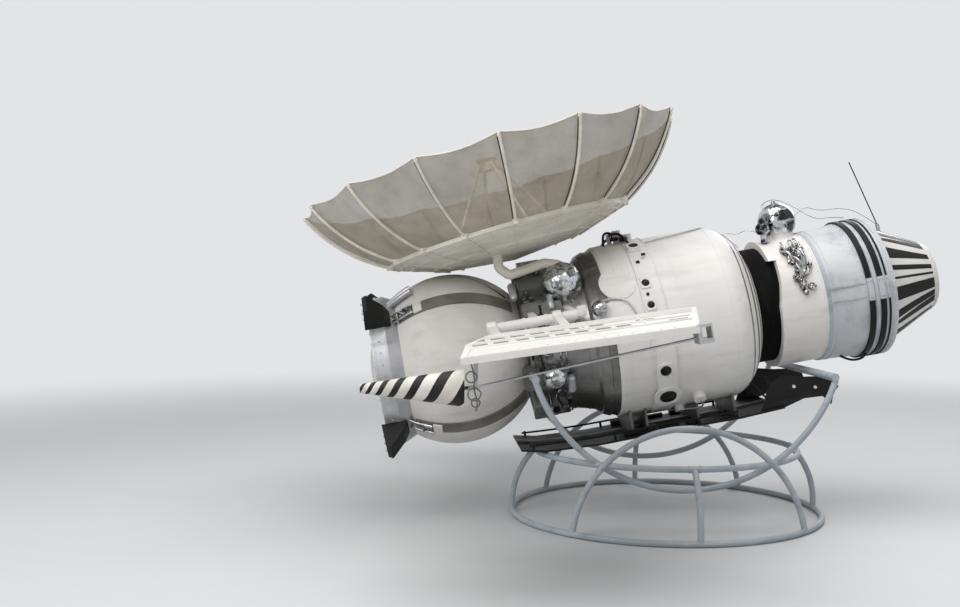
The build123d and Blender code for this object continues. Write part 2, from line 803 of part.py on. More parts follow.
for name, side in panel_sides:
    with BuildPart() as hinge_beam:
        tube_start = on_craft(hinge_left, side * hinge_offset, hinge_lift)
        with BuildSketch(Plane(origin=tube_start, z_dir=axis_dir)):
            Circle(hinge_tube_radius)
        extrude(amount=hinge_right - hinge_left)
        for station, width in bracket_table:
            with BuildSketch(station_plane(station)):
                with BuildLine():
                    Polyline(
                        (side * 300, hinge_lift - 75),
                        (side * 300, hinge_lift + 45),
                        (side * hinge_offset, hinge_lift + 24),
                        (side * hinge_offset, hinge_lift - 24),
                        close=True,
                    )
                make_face()
            extrude(amount=width)
        add(instrument_bay.part, mode=Mode.SUBTRACT)
        add(bay_units.part, mode=Mode.SUBTRACT)
        add(side_bottles.part, mode=Mode.SUBTRACT)
        add(capsule.part, mode=Mode.SUBTRACT)
    keep(hinge_beam, f"{name}_hinge_beam")

    # The panel's own plane: local x along the craft, local y outwards from its inner edge
    inner_edge = on_craft(0, side * panel_inner, panel_lift)
    outer_edge = on_craft(0, side * panel_outer, panel_lift - panel_droop)
    outward = (outer_edge - inner_edge).normalized()
    panel_normal = panel_x.cross(outward) * side
    panel_plane = Plane(origin=inner_edge, x_dir=panel_x, z_dir=panel_normal)
    panel_under = panel_plane.offset(-panel_thickness / 2)
    with BuildPart() as panel_frame:
        with BuildSketch(panel_under):
            with BuildLine():
                corners = [(station, side * (reach - panel_inner)) for station, reach in panel_outline]
                Polyline(*corners, close=True)
            make_face()
        extrude(amount=panel_thickness)
        for station, width in arm_table:
            arm_lift = panel_lift - panel_slope * (station + width / 2)
            with BuildSketch(station_plane(station)):
                with BuildLine():
                    Polyline(
                        (side * hinge_offset, hinge_lift - 18),
                        (side * hinge_offset, hinge_lift + 22),
                        (side * (panel_inner + 30), arm_lift + 11),
                        (side * (panel_inner + 30), arm_lift - 11),
                        close=True,
                    )
                make_face()
                with Locations((side * hinge_offset, hinge_lift)):
                    Circle(sleeve_radius)
                    Circle(hinge_tube_radius + hinge_play, mode=Mode.SUBTRACT)
            extrude(amount=width)
        extrude(panel_face(panel_under, side, cell_margin), amount=cell_thickness, mode=Mode.SUBTRACT)
    keep(panel_frame, f"{name}_panel_frame")

    with BuildPart() as panel_cells:
        extrude(panel_face(panel_under, side, cell_margin + cell_gap), amount=cell_thickness)
    keep(panel_cells, f"{name}_panel_cells")

    # Fittings: the fork and pin of the aerial's hinge, a rod along the outer edge, a bracket at its far end
    aerial_root = on_craft(aerial_station, side * aerial_offset, aerial_lift)
    pivot = aerial_root + Vector(pivot_reach, 0, 0)
    pivot_plane = Plane(origin=pivot, x_dir=(1, 0, 0), z_dir=(0, -1, 0))
    cheek_outline = ((0, -10), (36, -10), (36, 138), (15, 138), (15, 10), (0, 10))
    rod_start = pivot + Vector(30, side * 4, 4)
    rod_end = on_craft(panel_right + 20, side * (panel_outer - 60), panel_lift - 50)
    with BuildPart() as panel_fittings:
        with BuildSketch(pivot_plane):
            with BuildLine():
                Polyline(*cheek_outline, close=True)
            make_face()
            Circle(10)
        extrude(amount=12, both=True)
        with BuildSketch(pivot_plane):
            with Locations((0, 0)):
                Rectangle(52, 92)
        extrude(amount=6, both=True, mode=Mode.SUBTRACT)
        with BuildSketch(pivot_plane):
            Circle(pin_radius)
        extrude(amount=16, both=True)
        with BuildSketch(Plane(origin=rod_start, z_dir=rod_end - rod_start)):
            Circle(6)
        extrude(amount=(rod_end - rod_start).length)
        with BuildSketch(side_plane(side * (panel_outer - 60))):
            with Locations((panel_right + 24, panel_lift - 34)):
                Rectangle(66, 84)
            with Locations((panel_right + 30, panel_lift - 30)):
                Rectangle(42, 52, mode=Mode.SUBTRACT)
        extrude(amount=50, both=True)
        add(panel_frame.part, mode=Mode.SUBTRACT)
        add(panel_cells.part, mode=Mode.SUBTRACT)
    keep(panel_fittings, f"{name}_panel_fittings")

    with BuildPart() as aerial_cone:
        with BuildSketch(Plane(origin=aerial_root, z_dir=(-1, 0, 0))):
            Circle(aerial_base_radius)
        with BuildSketch(Plane(origin=aerial_root - Vector(aerial_length, 0, 0), z_dir=(-1, 0, 0))):
            Circle(aerial_tip_radius)
        loft()
        with BuildSketch(pivot_plane):
            with Locations((-pivot_reach / 2 - 5, 0)):
                Rectangle(pivot_reach + 10, 18)
            Circle(9)
            Circle(pin_radius + hinge_play, mode=Mode.SUBTRACT)
        extrude(amount=5, both=True)
    keep(aerial_cone, f"{name}_aerial_cone")

# Whip aerial: a thin rod hinged on a fork that stands on the engine cone
whip_root = on_craft(whip_station, 0, whip_lift)
whip_plane = Plane(origin=whip_root, x_dir=axis_dir, z_dir=(0, -1, 0))
whip_pin_radius = 3
with BuildPart() as whip_mount:
    with BuildSketch(whip_plane):
        Circle(9)
        with Locations((0, -30)):
            Rectangle(18, 60)
    extrude(amount=10, both=True)
    with BuildSketch(whip_plane):
        Rectangle(24, 34)
    extrude(amount=5, both=True, mode=Mode.SUBTRACT)
    with BuildSketch(whip_plane):
        Circle(whip_pin_radius)
    extrude(amount=13, both=True)
    add(engine_cone.part, mode=Mode.SUBTRACT)
keep(whip_mount, "whip_mount")

with BuildPart() as whip_rod:
    with BuildSketch(whip_plane):
        Circle(8)
        Circle(whip_pin_radius + hinge_play, mode=Mode.SUBTRACT)
    extrude(amount=4, both=True)
    rod_dir = lift_dir * cos(radians(whip_lean)) - axis_dir * sin(radians(whip_lean))
    with BuildSketch(Plane(origin=whip_root + rod_dir * 6, z_dir=rod_dir)):
        Circle(3.5)
    extrude(amount=whip_length)
keep(whip_rod, "whip_rod")
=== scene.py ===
import math
import random

import bmesh
import bpy
from mathutils import Matrix, Vector


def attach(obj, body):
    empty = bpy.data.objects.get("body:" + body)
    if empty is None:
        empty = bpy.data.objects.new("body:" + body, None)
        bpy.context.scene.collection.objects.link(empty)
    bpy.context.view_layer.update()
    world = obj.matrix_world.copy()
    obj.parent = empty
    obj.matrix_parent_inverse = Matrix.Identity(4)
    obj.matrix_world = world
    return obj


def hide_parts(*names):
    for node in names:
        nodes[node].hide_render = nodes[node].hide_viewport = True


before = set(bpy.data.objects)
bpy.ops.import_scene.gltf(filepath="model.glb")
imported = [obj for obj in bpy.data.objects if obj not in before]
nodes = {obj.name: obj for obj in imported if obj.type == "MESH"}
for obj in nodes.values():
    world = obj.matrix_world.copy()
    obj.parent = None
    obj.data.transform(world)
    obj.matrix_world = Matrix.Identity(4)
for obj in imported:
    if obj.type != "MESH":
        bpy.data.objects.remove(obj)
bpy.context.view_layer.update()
print("frame loaded:", len(nodes), "nodes")

# The craft leans nose down on its stand: x along it, y across to the far side, z square above it
craft = {"tilt": math.radians(9.8), "origin": Vector((0.264, 0, 1.152))}
craftFrame = Matrix.Translation(craft["origin"]) @ Matrix.Rotation(-craft["tilt"], 4, "Y")
level = Matrix.Identity(4)
xWay, yWay, zWay = Vector((1, 0, 0)), Vector((0, 1, 0)), Vector((0, 0, 1))


def facing(place, out, along):
    # a matrix at a place whose z is out and whose x is near along
    zAxis = out.normalized()
    yAxis = zAxis.cross(along).normalized()
    turned = Matrix((yAxis.cross(zAxis), yAxis, zAxis)).transposed().to_4x4()
    return Matrix.Translation(place) @ turned


def roundPlace(station, angle, radius):
    # a spot on a round surface of the craft, at a clock angle up from its near side: x along, z out
    turn = math.radians(angle)
    out = Vector((0, -math.cos(turn), math.sin(turn)))
    return facing(Vector((station, 0, 0)) + out * radius, out, xWay)


def onRound(station, angle, radius):
    return roundPlace(station, angle, radius).translation


def spoke(turn):
    return Vector((math.cos(turn), math.sin(turn), 0))


def moved(*way):
    return Matrix.Translation(way)


# Shader maths: a wire is one socket, and Python's operators add the Math nodes
class Wire:
    def __init__(self, finish, socket):
        self.finish = finish
        self.socket = socket

    def __add__(self, other):
        return self.finish.maths("ADD", self, other)

    def __sub__(self, other):
        return self.finish.maths("SUBTRACT", self, other)

    def __rsub__(self, other):
        return self.finish.maths("SUBTRACT", other, self)

    def __mul__(self, other):
        return self.finish.maths("MULTIPLY", self, other)

    def __truediv__(self, other):
        return self.finish.maths("DIVIDE", self, other)

    def __gt__(self, other):
        return self.finish.maths("GREATER_THAN", self, other)

    def __lt__(self, other):
        return self.finish.maths("LESS_THAN", self, other)


class Finish:
    def __init__(self, name, owner=None):
        self.owner = owner or bpy.data.materials.new(name)
        self.owner.use_nodes = True
        self.tree = self.owner.node_tree
        self.tree.nodes.clear()

    def add(self, kind, settings, sockets, result=0):
        node = self.tree.nodes.new(kind)
        for key, value in settings.items():
            setattr(node, key, value)
        pairs = sockets.items() if isinstance(sockets, dict) else enumerate(sockets)
        for key, value in pairs:
            if isinstance(value, Wire):
                self.tree.links.new(value.socket, node.inputs[key])
            else:
                node.inputs[key].default_value = value
        return Wire(self, node.outputs[result])

    def maths(self, operation, *values):
        return self.add("ShaderNodeMath", {"operation": operation}, values)

    def places(self, origin=(0, 0, 0), turn=(0, 0, 0)):
        found = self.add("ShaderNodeTexCoord", {}, {}, "Object")
        sockets = {"Vector": found, "Location": origin, "Rotation": turn}
        return self.add("ShaderNodeMapping", {"vector_type": "TEXTURE"}, sockets)

    def craftPlaces(self):
        return self.places(tuple(craft["origin"]), (0, -craft["tilt"], 0))

    def stretched(self, vector, scale):
        return self.add("ShaderNodeMapping", {"vector_type": "POINT"}, {"Vector": vector, "Scale": scale})

    def apart(self, vector):
        node = self.add("ShaderNodeSeparateXYZ", {}, {"Vector": vector}).socket.node
        return [Wire(self, output) for output in node.outputs]

    def cloud(self, vector, scale, detail=4, rough=0.55, warp=0):
        sockets = {"Vector": vector, "Scale": scale, "Detail": detail, "Roughness": rough, "Distortion": warp}
        return self.add("ShaderNodeTexNoise", {}, sockets)

    def creases(self, vector, scale):
        settings = {"feature": "DISTANCE_TO_EDGE"}
        return self.add("ShaderNodeTexVoronoi", settings, {"Vector": vector, "Scale": scale})

    def between(self, value, low, high, first=0, last=1):
        settings = {"interpolation_type": "SMOOTHSTEP"}
        return self.add("ShaderNodeMapRange", settings, (value, low, high, first, last))

    def grid(self, ways, width):
        # 1 on the lines of a grid, for pairs of a wire and its number of lines in each unit
        lines = []
        for wire, count in ways:
            middle = self.maths("FRACT", wire * count) - 0.5
            lines.append(self.maths("ABSOLUTE", middle) > width)
        return self.maths("MAXIMUM", *lines)

    def blend(self, amount, first, second):
        settings = {"data_type": "RGBA", "blend_type": "MIX", "clamp_factor": True}
        return self.add("ShaderNodeMix", settings, {0: amount, 6: first, 7: second}, 2)

    def twoTone(self, vector, scale, first, second, detail):
        # two near tones that drift into each other
        return self.blend(self.between(self.cloud(vector, scale, detail), 0.3, 0.7), first, second)

    def bump(self, height, strength, distance):
        return self.add("ShaderNodeBump", {}, {"Height": height, "Strength": strength, "Distance": distance})

    def surface(self, sockets):
        return self.shown(self.add("ShaderNodeBsdfPrincipled", {}, sockets))

    def shown(self, shader, outlet="ShaderNodeOutputMaterial"):
        output = self.tree.nodes.new(outlet)
        self.tree.links.new(shader.socket, output.inputs["Surface"])
        return self.owner


def tone(*shown):
    # a colour as it shows on a screen, in the shader's own scale
    linear = [((part / 255 + 0.055) / 1.055) ** 2.4 if part > 10 else part / 3294 for part in shown]
    return (*linear, 1)


def paint(name, tones, look):
    # brushed or sprayed paint: cloudy tone, dust, small chips, fine orange peel
    base, drift, grime, under = [tone(*shown) for shown in tones]
    finish = Finish(name)
    places = finish.craftPlaces()
    cloud = finish.cloud(places, look["cloudScale"], 5)
    smear = finish.cloud(finish.stretched(places, (1.2, 7, 7)), 2.2, 6, 0.65)
    speck = finish.cloud(places, look["speckScale"], 3, 0.7)
    colour = finish.blend(finish.between(cloud, 0.35, 0.68), base, drift)
    dirty = finish.between(smear, 0.48, 0.78) * look["dirt"]
    colour = finish.blend(dirty, colour, grime)
    chip = finish.between(speck, look["chipLevel"], look["chipLevel"] + 0.03) * look["chips"]
    rough = finish.between(cloud, 0.2, 0.8, look["rough"] - 0.07, look["rough"] + 0.09)
    skin = finish.cloud(places, look["peelScale"], 2) - chip * 0.6
    return finish.surface({
        "Base Color": finish.blend(chip, colour, under), "Roughness": rough + dirty * 0.15,
        "Metallic": look["metal"], "Specular IOR Level": look["gloss"],
        "Normal": finish.bump(skin, look["peel"], 0.0012),
    })


# Paints: each one's tone, the tone that it drifts to, its grime and what shows at a chip, then its numbers
paintColumns = (
    "dirt", "chips", "chipLevel", "cloudScale", "speckScale", "rough", "peel", "peelScale", "metal", "gloss",
)
paintLooks = {
    "standPaint": (
        ((158, 166, 173), (173, 180, 186), (106, 109, 110), (196, 198, 196)),
        (0.5, 0.7, 0.7, 5, 60, 0.42, 0.18, 260, 0, 0.45),
    ),
    "bodyWhite": (
        ((226, 224, 221), (218, 215, 211), (178, 173, 164), (150, 146, 138)),
        (0.34, 0.35, 0.72, 2.6, 70, 0.44, 0.12, 240, 0, 0.45),
    ),
    "capsuleCream": (
        ((212, 210, 206), (203, 200, 194), (162, 156, 144), (140, 136, 124)),
        (0.4, 0.3, 0.72, 3.4, 80, 0.5, 0.2, 180, 0, 0.45),
    ),
    "bayMetal": (
        ((146, 144, 142), (104, 103, 101), (50, 48, 46), (160, 160, 156)),
        (0.75, 0.5, 0.69, 3.5, 90, 0.3, 0.14, 200, 0.8, 0.45),
    ),
    "unitGrey": (
        ((118, 120, 114), (92, 95, 90), (54, 54, 50), (170, 170, 164)),
        (0.6, 0.6, 0.67, 9, 110, 0.42, 0.22, 220, 0.3, 0.45),
    ),
    "metalRing": (
        ((190, 191, 193), (170, 172, 174), (116, 114, 110), (210, 210, 208)),
        (0.45, 0.4, 0.68, 7, 120, 0.34, 0.15, 260, 0.55, 0.45),
    ),
    "blackPaint": (
        ((15, 15, 16), (24, 24, 24), (52, 50, 47), (104, 104, 100)),
        (0.2, 0.5, 0.72, 8, 110, 0.46, 0.15, 240, 0, 0.22),
    ),
    "shieldBlack": (
        ((16, 16, 17), (27, 26, 26), (62, 59, 55), (112, 110, 104)),
        (0.45, 0.6, 0.7, 5, 80, 0.5, 0.3, 160, 0, 0.25),
    ),
    "ribMetal": (
        ((222, 216, 204), (206, 199, 184), (150, 141, 124), (226, 222, 214)),
        (0.4, 0.4, 0.7, 9, 130, 0.42, 0.12, 260, 0, 0.45),
    ),
    "hubCream": (
        ((222, 218, 208), (208, 203, 191), (152, 145, 128), (170, 166, 154)),
        (0.45, 0.4, 0.71, 4, 90, 0.46, 0.16, 220, 0, 0.45),
    ),
    # painted shade: the grey of the panels' pockets and slots
    "pocketShadeGrey": (
        ((150, 148, 142), (122, 120, 115), (88, 85, 78), (186, 184, 178)),
        (0.6, 0.5, 0.66, 12, 120, 0.5, 0.25, 200, 0, 0.45),
    ),
    "steelBright": (
        ((196, 198, 200), (158, 160, 162), (92, 90, 86), (230, 230, 230)),
        (0.5, 0.5, 0.66, 16, 160, 0.26, 0.2, 300, 0.9, 0.45),
    ),
}
finishes = {}
for name, (tones, numbers) in paintLooks.items():
    finishes[name] = paint(name, tones, dict(zip(paintColumns, numbers)))


def mirrorMetal(name, tones, look):
    # polished or foil-faced metal with dents and a mottled tarnish, and dark blotches painted in as
    # reflections of a dark room
    base, dark, tint = [tone(*shown) for shown in tones]
    finish = Finish(name)
    places = finish.craftPlaces()
    reflectionBlotch = finish.cloud(places, look["reflectionBlotchScale"], 5, 0.62, look["warp"])
    cloud = finish.cloud(places, look["reflectionBlotchScale"] * 0.35, 3)
    # painted reflection: dark blotches mottle the bright tone, standing in for a dark room seen in the metal
    colour = finish.blend(finish.between(reflectionBlotch, look["reflectionFrom"], look["reflectionTo"]), dark, base)
    dent = finish.cloud(places, look["dentScale"], 3, 0.5)
    crease = finish.creases(finish.stretched(places, look["creaseStretch"]), look["creaseScale"])
    height = dent + finish.between(crease, 0, 0.22) * look["crease"]
    colour = finish.blend(finish.between(cloud, 0.42, 0.7) * 0.3, colour, tint)
    return finish.surface({
        "Base Color": colour, "Metallic": look["metal"],
        "Roughness": finish.between(reflectionBlotch, 0.3, 0.75, look["rough"] + 0.12, look["rough"]),
        "Normal": finish.bump(height, look["bump"], 0.004),
    })


# Bright metals: each one's own tone, its dark blotches of painted reflection and its tint, then its numbers
metalColumns = (
    "reflectionBlotchScale", "warp", "reflectionFrom", "reflectionTo", "dentScale", "creaseScale", "creaseStretch", "crease",
    "rough", "bump", "metal",
)
metalLooks = {
    "chromeBottle": (
        ((214, 217, 220), (78, 80, 84), (176, 170, 152)),
        (17, 1.6, 0.36, 0.56, 24, 26, (1, 1, 1), 0.25, 0.12, 0.42, 1),
    ),
    "chromeSmooth": (
        ((206, 210, 214), (38, 40, 44), (168, 165, 152)),
        (11, 1.1, 0.44, 0.6, 15, 14, (1, 1, 1), 0.1, 0.07, 0.28, 1),
    ),
    "foilDrum": (
        ((192, 195, 199), (166, 169, 173), (184, 181, 174)),
        (5, 0.4, 0.3, 0.55, 9, 7, (1, 2.4, 2.4), 0.2, 0.54, 0.35, 0.3),
    ),
    "crumpledFoil": (
        ((190, 191, 190), (30, 30, 31), (170, 162, 140)),
        (40, 2, 0.42, 0.6, 60, 44, (1, 1, 1), 0.8, 0.2, 0.9, 1),
    ),
}
for name, (tones, numbers) in metalLooks.items():
    finishes[name] = mirrorMetal(name, tones, dict(zip(metalColumns, numbers)))


def strapWebbing(name):
    finish = Finish(name)
    places = finish.craftPlaces()
    bands = {"Vector": places, "Scale": 85, "Distortion": 1.2}
    weft = finish.add("ShaderNodeTexWave", {"bands_direction": "X"}, bands)
    colour = finish.twoTone(places, 6, tone(100, 97, 89), tone(132, 129, 120), 5)
    colour = finish.blend(weft * 0.3, colour, tone(40, 40, 36))
    return finish.surface({"Base Color": colour, "Roughness": 0.75, "Normal": finish.bump(weft, 0.4, 0.0015)})


def blackCloth(name):
    # light-tight cloth: deep black with soft folds, painted a little darker in their hollows as shade, and a
    # little lint
    finish = Finish(name)
    places = finish.craftPlaces()
    fold = finish.cloud(finish.stretched(places, (9, 2.2, 2.2)), 1.8, 3, 0.5, 0.6)
    lint = finish.cloud(places, 140, 2)
    # painted shade: the folds' hollows are darker and their ridges lighter
    colour = finish.blend(finish.between(fold, 0.35, 0.75), tone(7, 7, 7), tone(20, 19, 19))
    colour = finish.blend(finish.between(lint, 0.68, 0.74) * 0.25, colour, tone(70, 68, 65))
    return finish.surface({
        "Base Color": colour, "Roughness": 0.9, "Specular IOR Level": 0.12,
        "Normal": finish.bump(fold, 0.8, 0.02),
    })


def solarCells(name):
    # blue-black cells in a grid of thin pale gaps, seen from under the panels
    finish = Finish(name)
    places = finish.craftPlaces()
    cellCount = 1 / 0.062
    gap = finish.grid([(way, cellCount) for way in finish.apart(places)[:2]], 0.46)
    cell = finish.twoTone(places, 11, tone(22, 26, 46), tone(34, 40, 70), 3)
    return finish.surface({
        "Base Color": finish.blend(gap, cell, tone(120, 118, 110)), "Roughness": gap * 0.3 + 0.25,
        "Coat Weight": 0.6, "Coat Roughness": 0.1, "Normal": finish.bump(1 - gap, 0.3, 0.001),
    })


def darkGlass(name):
    finish = Finish(name)
    cloud = finish.cloud(finish.craftPlaces(), 30, 3)
    colour = finish.blend(finish.between(cloud, 0.4, 0.7), tone(6, 6, 7), tone(17, 17, 19))
    return finish.surface({
        "Base Color": colour, "Roughness": cloud * 0.2 + 0.25, "Coat Weight": 0.12, "Coat Roughness": 0.15,
        "Specular IOR Level": 0.2,
    })


def netMesh(name):
    # fine woven net: threads both ways on its own UV map, thinner where it has stretched, clouded with age
    finish = Finish(name)
    across, along = finish.apart(finish.add("ShaderNodeUVMap", {}, {}))[:2]
    thread = finish.grid(((along, 84), (across, 64)), 0.3)
    places = finish.places()
    thin = finish.between(finish.cloud(places, 2.6), 0.3, 0.75, 0.56, 0.68)
    tarnish = finish.between(finish.cloud(places, 9), 0.35, 0.7)
    return finish.surface({
        "Base Color": finish.blend(tarnish, tone(148, 140, 122), tone(128, 120, 102)), "Roughness": 0.6,
        "Metallic": 0.25, "Alpha": thread * 0.22 + thin, "Normal": finish.bump(thread, 0.3, 0.001),
    })


stripes = {
    "root": (-1.3, 1.78, 0.003), "length": 0.46, "tipReach": 0.14375, "turn": 0.235, "cover": 0.44,
    "start": 20.3,
}


def aerialStripes(name, side):
    # two black arms wind round the cone from its root, closing up towards its tip
    station, reach, height = stripes["root"]
    root = craftFrame @ Vector((station, side * reach, height))
    apex = root - xWay * (stripes["length"] + stripes["tipReach"])
    finish = Finish(name)
    places = finish.places(tuple(apex))
    along, across, lift = finish.apart(places)
    wobble = finish.cloud(places, 22, 2) * 0.05
    reach = finish.maths("LOGARITHM", along, math.e) / stripes["turn"]
    around = finish.maths("ARCTAN2", lift, across * -side) / math.pi
    black = finish.maths("FRACT", reach + around + wobble + stripes["start"]) < stripes["cover"]
    cloud = finish.between(finish.cloud(places, 12), 0.35, 0.7)
    white = finish.blend(cloud, tone(214, 212, 206), tone(196, 192, 182))
    dark = finish.blend(cloud, tone(16, 15, 14), tone(34, 32, 30))
    height = black * 0.4 + finish.cloud(places, 200, 2) * 0.3
    return finish.surface({
        "Base Color": finish.blend(black, white, dark), "Roughness": 0.5, "Specular IOR Level": 0.25,
        "Normal": finish.bump(height, 0.25, 0.001),
    })


for name, make in (
    ("strapOlive", strapWebbing), ("neckCloth", blackCloth), ("cellDark", solarCells),
    ("portGlass", darkGlass), ("netMesh", netMesh),
):
    finishes[name] = make(name)
for name, side in (("nearStripes", -1), ("farStripes", 1)):
    finishes[name] = aerialStripes(name, side)

# Every CAD node keeps its shape and takes one of these finishes
finishNodes = {
    "standPaint": "base_ring upper_ring stand_legs stand_hoops stand_cradles cradle_fittings",
    "capsuleCream": "capsule", "strapOlive": "capsule_straps", "neckCloth": "neck",
    "blackPaint": "lock_blocks drum_bands whip_rod",
    "bayMetal": "instrument_bay dish_mast", "unitGrey": "bay_units shield_saddles",
    "bodyWhite": "main_body body_pads sensor_belt body_fittings skirt engine_cone "
    "near_hinge_beam far_hinge_beam near_panel_frame far_panel_frame",
    "portGlass": "belt_ports", "crumpledFoil": "skirt_valves", "foilDrum": "engine_drum",
    "chromeBottle": "side_bottles", "chromeSmooth": "top_bottle", "shieldBlack": "shield_plate",
    "hubCream": "dish_hub coolant_pipe", "ribMetal": "dish_ribs dish_feed dish_mesh",
    "cellDark": "near_panel_cells far_panel_cells",
    "nearStripes": "near_aerial_cone", "farStripes": "far_aerial_cone",
    "metalRing": "lock_ring near_panel_fittings far_panel_fittings whip_mount",
}
for finishName, names in finishNodes.items():
    for name in names.split():
        for materialSlot in nodes[name].material_slots:
            materialSlot.material = finishes[finishName]
print("finishes on the nodes")


def linked(name, data):
    made = bpy.data.objects.new(name, data)
    bpy.context.scene.collection.objects.link(made)
    return made


def placed(name, data, finishName, body):
    data.materials.append(finishes[finishName])
    made = linked(name, data)
    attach(made, body)
    return made


def piece(name, shape, finishName, body="root", space=craftFrame, sharp=35, closed=True):
    # a bmesh in its own measure becomes one named object, with its faces outward
    if closed:
        bmesh.ops.holes_fill(shape, edges=[edge for edge in shape.edges if edge.is_boundary], sides=12)
        bmesh.ops.recalc_face_normals(shape, faces=shape.faces)
    bmesh.ops.transform(shape, matrix=space, verts=shape.verts)
    if space.determinant() < 0:
        bmesh.ops.reverse_faces(shape, faces=shape.faces)
    mesh = bpy.data.meshes.new(name)
    shape.to_mesh(mesh)
    shape.free()
    for face in mesh.polygons:
        face.use_smooth = True
    mesh.set_sharp_from_angle(angle=math.radians(sharp))
    return placed(name, mesh, finishName, body)


def pipes(name, runs, radius, finishName, body="root", space=craftFrame):
    # thin round pipes or wires, each run a short list of places
    curve = bpy.data.curves.new(name, "CURVE")
    curve.dimensions = "3D"
    curve.bevel_depth = radius
    curve.bevel_resolution = 3
    curve.resolution_u = 8
    curve.use_fill_caps = True
    for run in runs:
        line = curve.splines.new("NURBS")
        line.points.add(len(run) - 1)
        for point, place in zip(line.points, run):
            point.co = (*(space @ Vector(place)), 1)
        line.order_u = 3
        line.use_endpoint_u = True
    return placed(name, curve, finishName, body)


def addBlock(shape, place, size, edge):
    scaled = place @ Matrix.Diagonal((*size, 1))
    made = bmesh.ops.create_cube(shape, size=1, matrix=scaled)["verts"]
    edges = list({line for vert in made for line in vert.link_edges})
    bmesh.ops.bevel(shape, geom=edges, offset=edge, segments=2, profile=0.5, affect="EDGES", material=-1)


def addStud(shape, place, radius, height, top=0.7, sides=10):
    raised = place @ moved(0, 0, height / 2)
    bmesh.ops.create_cone(
        shape, cap_ends=True, segments=sides, radius1=radius, radius2=radius * top, depth=height,
        matrix=raised,
    )


def addStudRing(shape, count, station, reach, radius, height, first=0):
    for index in range(count):
        addStud(shape, roundPlace(station, first + index * 360 / count, reach), radius, height)


def addTurned(shape, profile, place=level, start=0, sweep=360, steps=96):
    # a closed outline of (reach, height) turned about a place's z, from a start angle off its x
    turn = place @ Matrix.Rotation(math.radians(start), 4, "Z")
    verts = [shape.verts.new(turn @ Vector((reach, 0, height))) for reach, height in profile]
    edges = [shape.edges.new((verts[index - 1], verts[index])) for index in range(len(verts))]
    whole = sweep > 359
    if not whole:
        shape.faces.new(verts)
    axis = (place.to_3x3() @ zWay).normalized()
    bmesh.ops.spin(
        shape, geom=verts + edges, cent=place.translation, axis=axis, angle=math.radians(sweep), steps=steps,
        use_merge=whole,
    )


# A frame whose z runs back along the craft, so that a turn in it grows with the clock angle
clockFrame = Matrix(((0, 0, -1, 0), (-1, 0, 0, 0), (0, 1, 0, 0), (0, 0, 0, 1)))


def addBand(shape, profile, start=0, sweep=360, steps=96):
    # the same round the craft's axis, for an outline of (station, radius)
    addTurned(shape, [(radius, -station) for station, radius in profile], clockFrame, start, sweep, steps)


def slab(first, last, low, high):
    # a four-cornered outline from first to last one way and from low to high the other
    return ((first, low), (first, high), (last, high), (last, low))


def strap(station, width, reachAt, low, high):
    # the outline of a thin strap on a round surface whose radius changes along it
    end = station + width
    return (
        (station, reachAt(station, low)), (station, reachAt(station, high)), (end, reachAt(end, high)),
        (end, reachAt(end, low)),
    )


def flatBand(station, width, radius, rise):
    # the outline of a thin strap on a round surface of one radius
    return slab(station, station + width, radius - 0.002, radius + rise)


def taperReach(taper, station, rise):
    share = (station - taper["start"]) / (taper["end"] - taper["start"])
    return taper["startRadius"] + share * (taper["endRadius"] - taper["startRadius"]) + rise


def roundRuns(runs):
    return [[onRound(*spot) for spot in run] for run in runs]


def mirrored(run, side):
    return [(station, side * reach, lift) for station, reach, lift in run]


def draws(source, *ranges):
    return [source.uniform(*limits) for limits in ranges]


# Dish, in its own frame: z is the way it looks, x lies along its high side
dish = {
    "center": Vector((-0.798, 0, 2.074)), "tilt": math.radians(15.5), "lean": math.radians(4), "rim": 1.15,
    "hub": 0.726, "depth": 0.41, "ribs": 16, "ribHalf": 0.008, "sag": 0.0385, "netInset": 0.009,
    "hollow": 0.05, "cordDrop": 0.0025, "cordRadius": 0.0035, "cordStops": (0, 0.25, 0.5, 0.75, 1),
    "shadeCordInset": 0.004, "shadeCordReach": 0.0115, "shadeCordRadius": 0.0028,
    "shadeCordStops": (0.05, 0.25, 0.45, 0.65, 0.85, 0.96),
}
dishX = Vector((math.cos(dish["tilt"]), 0, math.sin(dish["tilt"])))
dishUp = Vector((-math.sin(dish["tilt"]), 0, math.cos(dish["tilt"])))
dishZ = dishUp * math.cos(dish["lean"]) + yWay * math.sin(dish["lean"])
dishTurn = Matrix((dishX, dishZ.cross(dishX), dishZ)).transposed().to_4x4()
dishFrame = Matrix.Translation(dish["center"]) @ dishTurn


def ribWay(index):
    return spoke(math.tau * index / dish["ribs"])


def onRib(index, inset, along):
    # a spot along the inner side of a rib, from 0 at the hub to 1 at the tip
    hub, rim, depth, sag, half = (dish[key] for key in ("hub", "rim", "depth", "sag", "ribHalf"))
    root = Vector((hub + half - inset, -depth - half + inset))
    middle = Vector(((hub + rim) / 2 + sag - inset, -depth / 2 - sag + inset))
    tip = Vector((rim - inset, inset))
    spot = root * (1 - along) * (1 - 2 * along) + middle * 4 * along * (1 - along)
    spot += tip * along * (2 * along - 1)
    return ribWay(index) * spot.x + zWay * spot.y


def onGore(index, across, along):
    # the net is drawn straight from rib to rib, and its free edge dips between the tips
    edge = along * (1 - dish["hollow"] * 4 * across * (1 - across))
    return onRib(index, dish["netInset"], edge).lerp(onRib(index + 1, dish["netInset"], edge), across)


